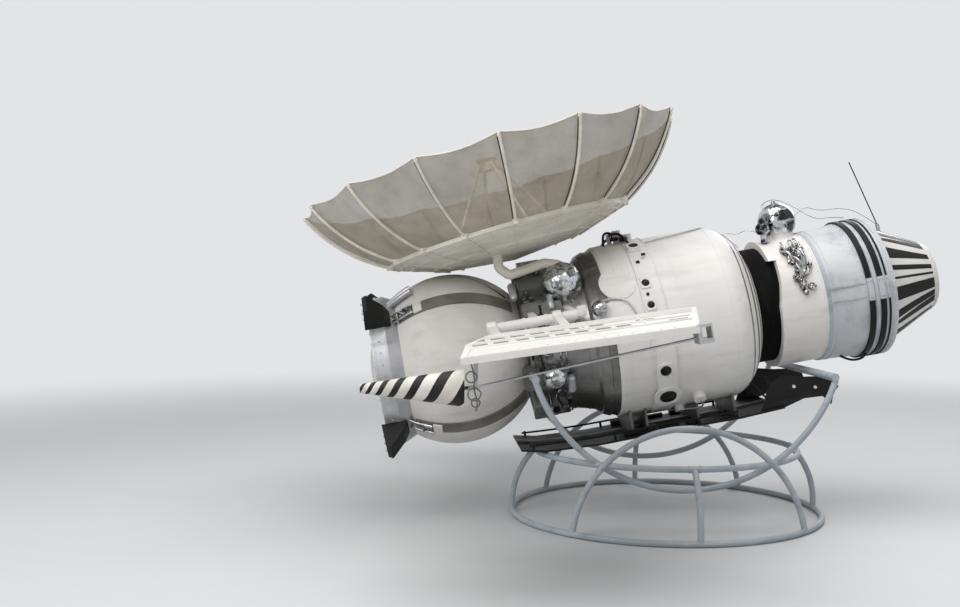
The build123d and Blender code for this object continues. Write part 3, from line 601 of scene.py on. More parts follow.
net = bmesh.new()
netLayer = net.loops.layers.uv.new("woven")
for index in range(dish["ribs"]):
    gore = bmesh.ops.create_grid(net, x_segments=6, y_segments=14, size=0.5)["verts"]
    own = {vert: (vert.co.x + 0.5, vert.co.y + 0.5) for vert in gore}
    for face in {face for vert in gore for face in vert.link_faces}:
        for loop in face.loops:
            loop[netLayer].uv = own[loop.vert]
    for vert, (across, along) in own.items():
        vert.co = onGore(index, across, along)
bmesh.ops.remove_doubles(net, verts=net.verts, dist=1e-4)
netArea = sum(face.calc_area() for face in net.faces)
netPiece = piece("dish_net", net, "netMesh", space=dishFrame, closed=False)
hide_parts("dish_mesh")

# a cord edges the net, and a thin black cord runs along one side of every rib, on the outside of the net, as
# painted shade for the rib's shaded side
rimCords = []
seamsAndShadeCords = []
for index in range(dish["ribs"]):
    drop = zWay * dish["cordDrop"]
    rimCords.append([onGore(index, across, 1) - drop for across in dish["cordStops"]])
    beside = ribWay(index).cross(zWay) * dish["shadeCordReach"]
    seamsAndShadeCords.append([onRib(index, dish["shadeCordInset"], along) + beside for along in dish["shadeCordStops"]])
pipes("dish_rim_cord", rimCords, dish["cordRadius"], "ribMetal", space=dishFrame)
pipes("rib_shade_cords", seamsAndShadeCords, dish["shadeCordRadius"], "blackPaint", space=dishFrame)

# Each rib's blocks by reach, height, lean, size and edge, and studs by reach, height, lean, radius and rise,
# then the ridges turned on the hub
dishParts = {
    "blocks": (
        (0.728, -0.418, 0, (0.05, 0.03, 0.03), 0.004),
        (0.56, -0.4815, 0.327, (0.3, 0.01, 0.012), 0.002),
        (0.566, -0.4535, 0.291, (0.3, 0.008, 0.006), 0.001),
    ),
    "studs": (
        (0.708, -0.404, 0, 0.006, 0.006), (0.748, -0.404, 0, 0.006, 0.006), (1.14, -0.012, 0.5, 0.011, 0.014),
    ),
    "ridges": (
        (
            128, 0.016, (-0.007, -0.002, 0.008, 0.004),
            ((0.716, -0.4295), (0.664, -0.4465), (0.6, -0.4675), (0.47, -0.5105)),
        ),
        (96, 0.012, (-0.004, -0.003, 0.004, 0.004), ((0.412, -0.5015), (0.25, -0.5225), (0.1, -0.541))),
    ),
}
dishTrim = bmesh.new()
for index in range(dish["ribs"]):
    out = ribWay(index)
    for reach, height, lean, size, edge in dishParts["blocks"]:
        addBlock(dishTrim, facing(out * reach + zWay * height, zWay - out * lean, out), size, edge)
    for reach, height, lean, radius, rise in dishParts["studs"]:
        along = zWay.cross(out) if lean else out
        addStud(dishTrim, facing(out * reach + zWay * height, out * lean + zWay, along), radius, rise)
for steps, width, heights, spots in dishParts["ridges"]:
    for reach, height in spots:
        reaches = (reach, reach + width, reach + width, reach)
        outline = [(corner, height + offset) for corner, offset in zip(reaches, heights)]
        addTurned(dishTrim, outline, steps=steps)
piece("dish_trim", dishTrim, "hubCream", space=dishFrame)

feed = {
    "collars": ((0.05, 0.062, 0.062), (-0.012, 0, 0.063), (0.062, 0.07, 0.03)), "bar": (0.13, 0.02, 0.014),
    "barHeight": 0.074, "feet": (20, 110, 200, 290), "foot": (0.05, 0.04, 0.014), "footReach": 0.405,
    "footHeight": -0.497, "edge": 0.003,
}
feedTrim = bmesh.new()
for low, high, reach in feed["collars"]:
    addTurned(feedTrim, slab(0.01, reach, low, high), steps=40)
addBlock(feedTrim, moved(0, 0, feed["barHeight"]), feed["bar"], feed["edge"])
for angle in feed["feet"]:
    out = spoke(math.radians(angle))
    seat = facing(out * feed["footReach"] + zWay * feed["footHeight"], zWay, out)
    addBlock(feedTrim, seat, feed["foot"], feed["edge"])
piece("feed_trim", feedTrim, "ribMetal", space=dishFrame)
print("dish dressed")

# Capsule: strap tensioners and ends, tubes beside them, a thin black wire over the top whose black is painted
# shade for the dark band along the capsule's top edge, and the lock ring's bolts
ball = {
    "station": -1.286, "radius": 0.505, "straps": (46, 134, 226, 314), "strapRise": 0.012,
    "buckles": ((118, 0.1, 0.066, 0.018), (129, 0.06, 0.05, 0.02)),
    "endTurn": 109, "end": (0.055, 0.07, 0.012), "rodTurns": (112, 118, 124, 131, 138), "rodRise": 0.024,
    "rodSlide": 0.03,
    "tubeAngles": (64, 69), "tube": ((-1.64, 0.03), (-1.56, 0.034), (-1.48, 0.03)),
    "wire": ((-1.6, 96), (-1.45, 90), (-1.3, 84), (-1.15, 76), (-1.02, 65), (-0.94, 57)), "wireRise": 0.003,
}


def onBall(station, angle, rise):
    reach = math.sqrt((ball["radius"] + rise) ** 2 - (station - ball["station"]) ** 2)
    return onRound(station, angle, reach)


def onStrap(angle, turn, rise, slide=0):
    # a spot over a strap: turn runs from the engine end back to the nose, slide moves it sideways
    swing = math.radians(turn)
    reach = ball["radius"] + rise
    place = roundPlace(ball["station"] + reach * math.cos(swing), angle, reach * math.sin(swing))
    return place @ Vector((0, slide, 0))


def strapSeat(angle, turn):
    # a place on a strap, its z out of the ball and its x on towards the nose
    spot = onStrap(angle, turn, ball["strapRise"])
    return facing(spot, spot - xWay * ball["station"], onStrap(angle, turn + 2, ball["strapRise"]) - spot)


buckles = bmesh.new()
strapEnds = bmesh.new()
rods = []
for angle in ball["straps"]:
    for turn, length, width, rise in ball["buckles"]:
        seat = strapSeat(angle, turn)
        addBlock(buckles, seat, (length, width, rise), 0.005)
        for slide in (-0.02, 0.02):
            addStud(buckles, seat @ moved(0, slide, rise / 2), 0.007, 0.012, 0.8)
    addBlock(strapEnds, strapSeat(angle, ball["endTurn"]), ball["end"], 0.004)
    for slide in (-ball["rodSlide"], ball["rodSlide"]):
        rods.append([onStrap(angle, turn, ball["rodRise"], slide) for turn in ball["rodTurns"]])
piece("strap_buckles", buckles, "crumpledFoil")
piece("strap_ends", strapEnds, "capsuleCream")
pipes("strap_rods", rods, 0.006, "steelBright")
tubes = [[onBall(station, angle, rise) for station, rise in ball["tube"]] for angle in ball["tubeAngles"]]
pipes("capsule_tubes", tubes, 0.016, "metalRing")
# painted shade: a thin black wire stands in for the dark band along the capsule's top edge
pipes("capsule_shade_wire", [[onBall(*spot, ball["wireRise"]) for spot in ball["wire"]]], 0.005, "blackPaint")

lock = {
    "bolts": 40, "bolt": 0.006, "side": (-1.7, 0.4375), "face": (-1.745, 0.416), "blockFace": -1.761,
    "blockReaches": (0.5, 0.55), "blockSlide": 0.035, "blockBolt": 0.008,
    "bands": ((-1.74, 0.012, 0.4365, 0.003), (-1.668, 0.01, 0.4385, 0.003)),
}
lockTrim = bmesh.new()
addStudRing(lockTrim, lock["bolts"], *lock["side"], lock["bolt"], lock["bolt"])
station, reach = lock["face"]
for index in range(lock["bolts"]):
    spot = onRound(station, index * 360 / lock["bolts"], reach)
    addStud(lockTrim, facing(spot, -xWay, yWay), lock["bolt"], lock["bolt"])
for angle in ball["straps"]:
    for reach in lock["blockReaches"]:
        for slide in (-lock["blockSlide"], lock["blockSlide"]):
            spot = roundPlace(lock["blockFace"], angle, reach) @ Vector((0, slide, 0))
            addStud(lockTrim, facing(spot, -xWay, yWay), lock["blockBolt"], lock["blockBolt"])
for band in lock["bands"]:
    addBand(lockTrim, flatBand(*band))
piece("lock_trim", lockTrim, "metalRing")
print("capsule dressed")

# Instrument bay: stiffening rings, pipework, small boxes and canisters over dark metal. What is strewn has
# its number and then the range of each draw: clock angle, station and the rest
bay = {
    "rings": (
        ((-0.478, 0.468), (-0.478, 0.477), (-0.43, 0.499), (-0.43, 0.49)),
        ((-0.541, 0.434), (-0.541, 0.4395), (-0.535, 0.441), (-0.535, 0.436)),
        ((-0.629, 0.412), (-0.629, 0.4195), (-0.621, 0.421), (-0.621, 0.414)),
        ((-0.868, 0.37), (-0.868, 0.392), (-0.85, 0.392), (-0.85, 0.372)),
    ),
    "runs": (30, (-78, 262), (-0.86, -0.62)), "swing": (14, 46), "reach": (0.415, 0.445), "pipes": 14,
    "boxes": (64, (-80, 262), (-0.86, -0.6), (0.016, 0.05), (0.016, 0.05), (0.03, 0.07)),
    "smallBoxes": (70, (-58, 70), (-0.87, -0.66), (0.008, 0.028), (0.008, 0.028), (0.02, 0.05)),
    "canisters": (
        (-0.9, 49, 0.13, 0.022), (-0.7, 34, 0.1, 0.02), (-0.66, -30, 0.11, 0.024), (-0.8, -56, 0.1, 0.022),
    ),
}
bayRings = bmesh.new()
for outline in bay["rings"]:
    addBand(bayRings, outline)
piece("bay_rings", bayRings, "bayMetal")

bayRandom = random.Random(11)
bayRuns = []
count, *ranges = bay["runs"]
for index in range(count):
    angle, station = draws(bayRandom, *ranges)
    swing = bayRandom.choice((-1, 1)) * bayRandom.uniform(*bay["swing"])
    reach = bayRandom.uniform(*bay["reach"])
    bayRuns.append((
        (station, angle, 0.37), (station, angle, reach), (station, angle + swing * 0.5, reach + 0.006),
        (station + 0.05, angle + swing, reach), (station + 0.1, angle + swing, 0.4),
    ))
pipes("bay_pipes", roundRuns(bayRuns[:bay["pipes"]]), 0.007, "steelBright")
pipes("bay_cables", roundRuns(bayRuns[bay["pipes"]:]), 0.005, "blackPaint")
bayBits = bmesh.new()
count, *ranges = bay["boxes"]
for index in range(count):
    angle, station, *size = draws(bayRandom, *ranges)
    if index % 3:
        addBlock(bayBits, roundPlace(station, angle, 0.402), size, 0.003)
    else:
        addStud(bayBits, roundPlace(station, angle, 0.39), size[0] * 0.5, size[2], 0.8, 16)
count, *ranges = bay["smallBoxes"]
for index in range(count):
    angle, station, *size = draws(bayRandom, *ranges)
    addBlock(bayBits, roundPlace(station, angle, 0.442), size, 0.002)
piece("bay_bits", bayBits, "unitGrey")
canisters = bmesh.new()
for station, angle, length, radius in bay["canisters"]:
    half, straight, neck = length / 2, length * 0.38, radius * 0.6
    outline = (
        (0.001, -half), (neck, -half), (radius, -straight), (radius, straight), (neck, half), (0.001, half),
    )
    lying = roundPlace(station, angle, 0.452) @ Matrix.Rotation(math.radians(90), 4, "X")
    addTurned(canisters, outline, lying, steps=24)
piece("bay_canisters", canisters, "metalRing")
print("bay dressed")

# Body: weld lines, flange bolts, frames and covers on the ports, pipes and valves. A port's row is its
# station, clock angle, length, width and seat; a lens's is its station, clock angle, radius, rise and seat
hull = {
    "radius": 0.519, "dome": 0.264, "shoulder": 0.3,
    "bands": (
        (-0.318, 0.004, 0.519, 0.0016), (0.295, 0.005, 0.519, 0.0018), (0.02, 0.004, 0.519, 0.0012),
        (-0.199, 0.006, 0.524, 0.0035), (-0.079, 0.006, 0.524, 0.0035),
    ),
    "boltStations": (-0.188, -0.084), "boltReach": 0.525,
    "ports": (
        (-0.15, 64, 0.054, 0.058, 0.539), (-0.158, 30.7, 0.044, 0.05, 0.525),
        (-0.158, 16, 0.04, 0.046, 0.525), (-0.134, -26, 0.062, 0.072, 0.539),
        (-0.122, -47, 0.096, 0.122, 0.539),
    ),
    "padBolts": ((-0.312, 34.6, 0.094), (-0.368, 9.5, 0.104)), "padReach": 0.5245,
    "domeBands": ((0.405, 0.008), (0.445, 0.008), (0.476, 0.006)),
    "lenses": (
        (-0.134, -26, 0.03, 0.016, 0.541), (-0.122, -47, 0.05, 0.022, 0.541),
        (-0.158, 30.7, 0.021, 0.01, 0.527), (-0.158, 16, 0.019, 0.01, 0.527),
    ),
    "topBlocks": (
        (-0.225, 85, (0.05, 0.03, 0.022)), (-0.178, 79, (0.045, 0.04, 0.024)), (-0.2, 92, (0.03, 0.03, 0.03)),
        (-0.12, 52, (0.026, 0.016, 0.012)),
    ),
}


def domeReach(station, rise):
    share = (station - hull["shoulder"]) / hull["dome"]
    return hull["radius"] * math.sqrt(1 - share * share) + rise


bodyTrim = bmesh.new()
for band in hull["bands"]:
    addBand(bodyTrim, flatBand(*band))
for station in hull["boltStations"]:
    addStudRing(bodyTrim, 36, station, hull["boltReach"], 0.0035, 0.003, 5)
for station, angle, length, width, reach in hull["ports"]:
    seat = roundPlace(station, angle, reach)
    for sign in (-1, 1):
        end, side = moved(sign * (length / 2 + 0.004), 0, 0.003), moved(0, sign * (width / 2 + 0.004), 0.003)
        addBlock(bodyTrim, seat @ end, (0.007, width + 0.014, 0.01), 0.002)
        addBlock(bodyTrim, seat @ side, (length + 0.014, 0.007, 0.01), 0.002)
    hole, rim = length / 2 + 0.001, math.hypot(length, width) / 2 + 0.003
    addTurned(bodyTrim, ((hole, -0.004), (rim, -0.005), (rim, 0.005), (hole, 0.0065)), seat, steps=36)
for station, angle, radius in hull["padBolts"]:
    for index in range(12):
        spot = spoke(math.tau * index / 12) * radius
        spot.z = math.sqrt(hull["padReach"] ** 2 - spot.y ** 2)
        addStud(bodyTrim, roundPlace(station, angle, 0) @ Matrix.Translation(spot), 0.004, 0.003)
piece("body_trim", bodyTrim, "bodyWhite")

domeRings = bmesh.new()
for station, width in hull["domeBands"]:
    addBand(domeRings, strap(station, width, domeReach, -0.004, 0.003))
piece("dome_rings", domeRings, "bayMetal")

lenses = bmesh.new()
for station, angle, radius, rise, reach in hull["lenses"]:
    outline = (
        (0.001, 0), (radius, 0), (radius * 0.94, rise * 0.55), (radius * 0.6, rise * 0.9), (0.001, rise),
    )
    addTurned(lenses, outline, roundPlace(station, angle, reach), steps=28)
piece("port_lenses", lenses, "portGlass")

bodyPipes = (
    ((-0.447, 24, 0.512), (-0.4, 24, 0.53), (-0.33, 23.6, 0.53), (-0.281, 20.6, 0.53), (-0.255, 14, 0.53),
     (-0.242, 9, 0.526)),
    ((0.314, 88, 0.522), (0.412, 76, 0.482), (0.437, 71.7, 0.455), (0.455, 66.7, 0.44), (0.474, 62.6, 0.415)),
    ((-0.07, 70, 0.526), (0.05, 72, 0.53), (0.2, 76, 0.53), (0.3, 84, 0.524)),
    ((0.067, -54, 0.56), (0.1, -60, 0.58), (0.06, -68, 0.56), (-0.02, -72, 0.545)),
)
pipes("body_pipes", roundRuns(bodyPipes), 0.005, "metalRing")
topHoses = (
    ((-0.3, 80, 0.515), (-0.285, 88, 0.575), (-0.25, 93, 0.592), (-0.215, 92, 0.575), (-0.17, 88, 0.56)),
    ((-0.24, 94, 0.57), (-0.215, 84, 0.585), (-0.18, 78, 0.565), (-0.165, 72, 0.535)),
    ((-0.29, 100, 0.515), (-0.25, 104, 0.56), (-0.2, 100, 0.575), (-0.18, 94, 0.545)),
)
pipes("top_hoses", roundRuns(topHoses), 0.008, "blackPaint")
topBlocks = bmesh.new()
for station, angle, size in hull["topBlocks"]:
    addBlock(topBlocks, roundPlace(station, angle, 0.545), size, 0.004)
piece("top_blocks", topBlocks, "blackPaint")
print("body dressed")

# Skirt and bottles: rivets, foil-wrapped valves, collars on the bottles and wires over the top. A ring of
# rivets has its number, station, reach, and each one's radius and height
skirt = {"rivets": (44, 0.87, 0.385, 0.004, 0.003), "rim": slab(0.873, 0.884, 0.384, 0.389)}
skirtTrim = bmesh.new()
addStudRing(skirtTrim, *skirt["rivets"])
addBand(skirtTrim, skirt["rim"])
piece("skirt_trim", skirtTrim, "bodyWhite")

# the foil's lumps and the pipes among them, again by their number and the range of each draw
valves = {
    "lumps": (26, (0.715, 0.83), (8, 54), (0.012, 0.024), (0.7, 1.4), (0.8, 1.6)), "reach": 0.4,
    "crumple": [(-0.0022, 0.0022)] * 3, "runs": (9, (8, 50), (0.72, 0.82), (-0.04, 0.04)),
}
foilRandom = random.Random(5)
foil = bmesh.new()
count, *ranges = valves["lumps"]
for index in range(count):
    station, angle, radius, wide, high = draws(foilRandom, *ranges)
    place = roundPlace(station, angle, valves["reach"]) @ Matrix.Diagonal((1, wide, high, 1))
    lump = bmesh.ops.create_icosphere(foil, subdivisions=2, radius=radius, matrix=place)["verts"]
    for vert in lump:
        vert.co += Vector(draws(foilRandom, *valves["crumple"]))
piece("valve_foil", foil, "crumpledFoil", sharp=12)
valveRuns = []
count, *ranges = valves["runs"]
for index in range(count):
    angle, station, slide = draws(foilRandom, *ranges)
    valveRuns.append((
        (station, angle, 0.395), (station + 0.01, angle + 4, 0.425), (station - 0.015, angle + 10, 0.43),
        (station + slide, angle + 15, 0.395),
    ))
pipes("valve_pipes", roundRuns(valveRuns), 0.006, "steelBright")

bottles = {
    "small": (0.655, -0.13, 0.452), "smallRadius": 0.042, "top": (0.789, 0, 0.48),
    "smallStems": (
        ((0.001, 0.37), (0.022, 0.37), (0.018, 0.42), (0.001, 0.42)),
        ((0.001, 0.485), (0.012, 0.485), (0.01, 0.512), (0.001, 0.512)),
    ),
    "topStem": ((0.001, 0.108), (0.016, 0.108), (0.012, 0.128), (0.001, 0.128)),
    "side": ((-0.61, -0.305, 0.345, 0.122), (-0.752, -0.42, -0.172, 0.074), (-0.45, -0.52, 0.175, 0.046)),
    "lean": Vector((0.3, -0.4, 0.85)),
}
smallBottle = bmesh.new()
smallPlace = Matrix.Translation(bottles["small"])
bmesh.ops.create_uvsphere(
    smallBottle, u_segments=28, v_segments=16, radius=bottles["smallRadius"], matrix=smallPlace,
)
for outline in bottles["smallStems"]:
    addTurned(smallBottle, outline, moved(*bottles["small"][:2], 0), steps=20)
piece("small_bottle", smallBottle, "chromeSmooth")
bottleTrim = bmesh.new()
topPlace = Matrix.Translation(bottles["top"])
addTurned(bottleTrim, slab(0.108, 0.116, -0.004, 0.004), topPlace, steps=64)
addTurned(bottleTrim, bottles["topStem"], topPlace, steps=20)
for *spot, radius in bottles["side"]:
    outline = slab(radius - 0.005, radius + 0.002, -0.003, 0.003)
    addTurned(bottleTrim, outline, facing(Vector(spot), bottles["lean"], xWay), steps=56)
piece("bottle_trim", bottleTrim, "steelBright")

topWires = (
    ((0.64, -0.14, 0.51), (0.66, -0.12, 0.58), (0.72, -0.06, 0.612), (0.8, -0.02, 0.618),
     (0.88, -0.05, 0.565), (1.01, -0.05, 0.452), (1.1, -0.05, 0.455), (1.19, -0.04, 0.435)),
    ((0.615, -0.13, 0.44), (0.56, -0.12, 0.47), (0.5, -0.1, 0.44), (0.44, -0.08, 0.47)),
    ((0.9, -0.03, 0.5), (0.96, -0.02, 0.55), (1.06, -0.01, 0.5), (1.18, -0.01, 0.5), (1.3, 0, 0.46),
     (1.4, 0, 0.36)),
    ((0.7, -0.1, 0.6), (0.665, -0.12, 0.56), (0.68, -0.13, 0.5), (0.7, -0.12, 0.44), (0.72, -0.1, 0.39)),
)
pipes("top_wires", topWires, 0.0024, "steelBright")

# Drum: rivets, seams and its front edge. Along its near side is a joint, where pale stubs cover the black
# bands; the bands' own opening, just above it, is filled
drum = {
    "start": 0.885, "end": 1.262, "startRadius": 0.391, "endRadius": 0.416, "rivets": 56,
    "rivetStations": (0.892, 1.1, 1.245), "rivet": (0.0035, 0.0028), "lip": (0.8835, 0.906, 0.384, 0.003),
    "seamsAndShadeCords": ((0.925, 0.005), (1.108, 0.006), (1.158, 0.004), (1.176, 0.004)),
    "hook": ((0.99, -70, 0.4), (1.03, -68, 0.44), (1.09, -66, 0.45), (1.13, -66, 0.43), (1.14, -67, 0.412)),
}
hoops = {
    "inner": 0.4, "outer": 0.421, "low": -8, "high": 10, "end": 28, "cover": 0.0012, "overlap": 0.001,
    "bands": ((1.12, 0.03), (1.184, 0.032), (1.232, 0.01)), "strips": ((6.5, 0.01), (-5, 0.006)),
    "stripEnds": (0.888, 1.258), "studStations": (1.128, 1.142, 1.192, 1.208, 1.237),
    "studAngles": (7.5, -5.5),
}


def drumReach(station, rise=0):
    return taperReach(drum, station, rise)


drumTrim = bmesh.new()
for station in drum["rivetStations"]:
    addStudRing(drumTrim, drum["rivets"], station, drumReach(station), *drum["rivet"])
for station, width in drum["seamsAndShadeCords"]:
    addBand(drumTrim, strap(station, width, drumReach, -0.001, 0.003))
piece("drum_trim", drumTrim, "foilDrum")
drumEdge = bmesh.new()
first, last, inner, rise = drum["lip"]
edgeTop, edgeBack = drumReach(drum["start"], rise), drumReach(last)
addBand(drumEdge, ((first, inner), (first, edgeTop), (last, edgeBack + rise), (last, edgeBack - 0.001)))
piece("drum_edge", drumEdge, "standPaint")

bandFill = bmesh.new()
bandStubs = bmesh.new()
for station, width in hoops["bands"]:
    end = station + width
    outline = slab(station, end, hoops["inner"], hoops["outer"])
    addBand(bandFill, outline, hoops["high"], hoops["end"] - hoops["high"], 12)
    first, last = station - hoops["overlap"], end + hoops["overlap"]
    outline = slab(first, last, hoops["inner"], hoops["outer"] + hoops["cover"])
    addBand(bandStubs, outline, hoops["low"] + 0.2, hoops["high"] - hoops["low"] - 0.2, 12)
piece("band_fill", bandFill, "blackPaint")
piece("band_stubs", bandStubs, "foilDrum")
jointStrip = bmesh.new()
for angle, width in hoops["strips"]:
    first, last = (onRound(station, angle, drumReach(station, 0.001)) for station in hoops["stripEnds"])
    way = last - first
    place = facing((first + last) / 2, onRound(0, angle, 1), way)
    addBlock(jointStrip, place, (way.length, width, 0.005), 0.001)
for station in hoops["studStations"]:
    for angle in hoops["studAngles"]:
        addStud(jointStrip, roundPlace(station, angle, hoops["outer"] + 0.001), 0.0045, 0.005)
piece("joint_strip", jointStrip, "steelBright")
pipes("drum_hook", roundRuns([drum["hook"]]), 0.007, "blackPaint")

# Engine cone: four sets of black patches, by two clock angles at the wide end, then two at the narrow end
coneBack = {
    "start": 1.285, "startRadius": 0.372, "end": 1.638, "endRadius": 0.2,
    "patchStart": 1.306, "patchLength": 0.296, "patchRise": 0.0015, "patchThickness": 0.002,
    "patches": (
        (26.6, 39.4, 29.4, 37.6), (14.6, 19.4, 13.9, 20.6), (5.8, 7.8, 5.4, 8.6), (-14.5, -1.7, -16.1, -0.6),
        (-33.4, -24.4, -28.2, -19.4), (48.7, 53.1, 49.4, 60.7),
    ),
    "bands": (
        ((1.618, 0.2075), (1.618, 0.2145), (1.637, 0.2045), (1.637, 0.198)),
        ((1.286, 0.37), (1.286, 0.381), (1.3, 0.375), (1.3, 0.362)),
    ),
    "rivets": (40, 1.275, 0.42, 0.004, 0.0028, 4.5),
}
patches = bmesh.new()
for turn in (0, 90, 180, 270):
    for lowStart, highStart, lowEnd, highEnd in coneBack["patches"]:
        made = bmesh.ops.create_grid(patches, x_segments=8, y_segments=6, size=0.5)["verts"]
        for vert in made:
            along, across = vert.co.x + 0.5, vert.co.y + 0.5
            station = coneBack["patchStart"] + along * coneBack["patchLength"]
            low = lowStart + (lowEnd - lowStart) * along
            high = highStart + (highEnd - highStart) * along
            reach = taperReach(coneBack, station, coneBack["patchRise"])
            vert.co = onRound(station, low + (high - low) * across + turn, reach)
bmesh.ops.recalc_face_normals(patches, faces=patches.faces)
bmesh.ops.solidify(patches, geom=patches.faces[:], thickness=coneBack["patchThickness"])
piece("cone_patches", patches, "blackPaint")
coneTrim = bmesh.new()
for outline in coneBack["bands"]:
    addBand(coneTrim, outline)
addStudRing(coneTrim, *coneBack["rivets"])
piece("cone_trim", coneTrim, "bodyWhite")
print("engine dressed")

# Shield: brackets under its edge rail, boxes on it, its rails and braces, and studs on the fins
shield = {
    "railReach": 0.27, "boxReach": 0.235, "finReach": 0.276, "bracket": (0.014, 0.012, 0.034),
    "brackets": (
        (-0.93, -0.563), (-0.7, -0.586), (-0.45, -0.59), (-0.2, -0.588), (0.05, -0.586), (0.28, -0.588),
    ),
    "boxes": (
        (-0.34, -0.588, (0.1, 0.05, 0.03)), (-0.22, -0.586, (0.06, 0.06, 0.035)),
        (-0.12, -0.59, (0.12, 0.04, 0.022)), (0.02, -0.588, (0.07, 0.05, 0.03)),
    ),
    "rails": (
        ((-0.95, 0.27, -0.556), (-0.7, 0.27, -0.572), (-0.45, 0.27, -0.574), (0, 0.27, -0.57),
         (0.29, 0.27, -0.572)),
        ((0.488, 0.262, -0.4), (0.494, 0.262, -0.46), (0.5, 0.262, -0.53)),
        ((0.4, 0.22, -0.42), (0.45, 0.24, -0.5), (0.5, 0.255, -0.56)),
    ),
    "finStuds": ((0.638, -0.487), (0.763, -0.512)),
}
shieldTrim = bmesh.new()
shieldRails = []
finStuds = bmesh.new()
for side in (-1, 1):
    for station, lift in shield["brackets"]:
        addBlock(shieldTrim, moved(station, side * shield["railReach"], lift), shield["bracket"], 0.002)
    for station, lift, size in shield["boxes"]:
        addBlock(shieldTrim, moved(station, side * shield["boxReach"], lift), size, 0.004)
    shieldRails += [mirrored(run, side) for run in shield["rails"]]
    for station, lift in shield["finStuds"]:
        spot = Vector((station, side * shield["finReach"], lift))
        addStud(finStuds, facing(spot, yWay * side, xWay), 0.01, 0.012, 0.75, 14)
piece("shield_brackets", shieldTrim, "shieldBlack")
pipes("shield_rails", shieldRails, 0.006, "blackPaint")
piece("fin_studs", finStuds, "bodyWhite")
print("shield dressed")

# Panels: rails, grey patches painted as the shade in the pocket rows, and bolts on the upper side, then wires
# at the aerial's root and the hinge tube.
# A spot on a panel is its station and its reach from the craft's middle
panel = {
    "inner": 1, "lift": 0.1065, "pitch": math.radians(2.3), "droop": -0.022, "half": 0.014, "sunk": 0.001,
    "corners": ((-1.11, 1), (-0.02, 1), (-0.26, 2), (-1.3, 2), (-1.25, 1.38)),
    "middle": Vector((-0.75, 1.5)), "inset": 0.024, "edgeRail": (0.026, 0.006), "crossRail": (0.016, 0.009),
    "longRail": (0.014, 0.006), "bolts": 12, "boltStart": -1.04, "boltPitch": 0.062, "bolt": (0.005, 0.008),
    "boltReaches": (1.06, 1.95), "pocketStart": -1.185, "pocketPitch": 0.098,
    "crossRails": ((1.12, -1.14, -0.08), (1.21, -1.17, -0.1), (1.41, -1.23, -0.16), (1.62, -1.25, -0.2)),
    "longRails": (
        ((-1.05, 1.03), (-1.02, 1.62)), ((-0.7, 1.03), (-0.66, 1.62)), ((-0.36, 1.03), (-0.4, 1.62)),
    ),
    "pocketRows": ((1.3, 7), (1.51, 8)), "pocket": (0.07, 0.09, 0.003),
    "slots": ((-0.36, 1.31), (-0.24, 1.52), (-0.14, 1.16)), "slot": (0.09, 0.03, 0.003), "pocketRise": 0.0005,
}
rootWires = {
    "station": -1.262, "reach": 1.886, "radius": 0.0035,
    "loops": ((0.055, 0.026, 0), (-0.02, 0.03, 0.01), (-0.06, 0.02, -0.012)),
    "lead": (
        (-1.255, 1.886, 0.125), (-1.245, 1.89, 0.06), (-1.262, 1.888, 0), (-1.25, 1.886, -0.06),
        (-1.268, 1.884, -0.095),
    ),
}
hingeTube = {
    "reach": 0.69, "lift": 0.175, "collars": (-1.02, -0.9, -0.78), "collar": (0.0265, 0.031, 0.014),
    "end": slab(0.001, 0.0235, -0.603, -0.597), "block": (-0.575, 0.19), "size": (0.05, 0.06, 0.055),
}


def panelFrame(side):
    # local x along the panel, local y out from its inner edge on either side, z up through it
    along = Vector((math.cos(panel["pitch"]), 0, -math.sin(panel["pitch"])))
    outward = Vector((0, side, panel["droop"])).normalized()
    up = along.cross(outward) * side
    turned = Matrix((along, outward, up)).transposed().to_4x4()
    return craftFrame @ moved(0, side * panel["inner"], panel["lift"]) @ turned


def onPanel(spot, rise):
    return Vector((spot[0], spot[1] - panel["inner"], panel["half"] + rise))


def panelLine(shape, start, end, width, rise):
    # a strip lying on the panel between two spots
    first, last = (onPanel(spot, rise / 2 - panel["sunk"]) for spot in (start, end))
    way = last - first
    addBlock(shape, facing((first + last) / 2, zWay, way), (way.length, width, rise), rise * 0.3)


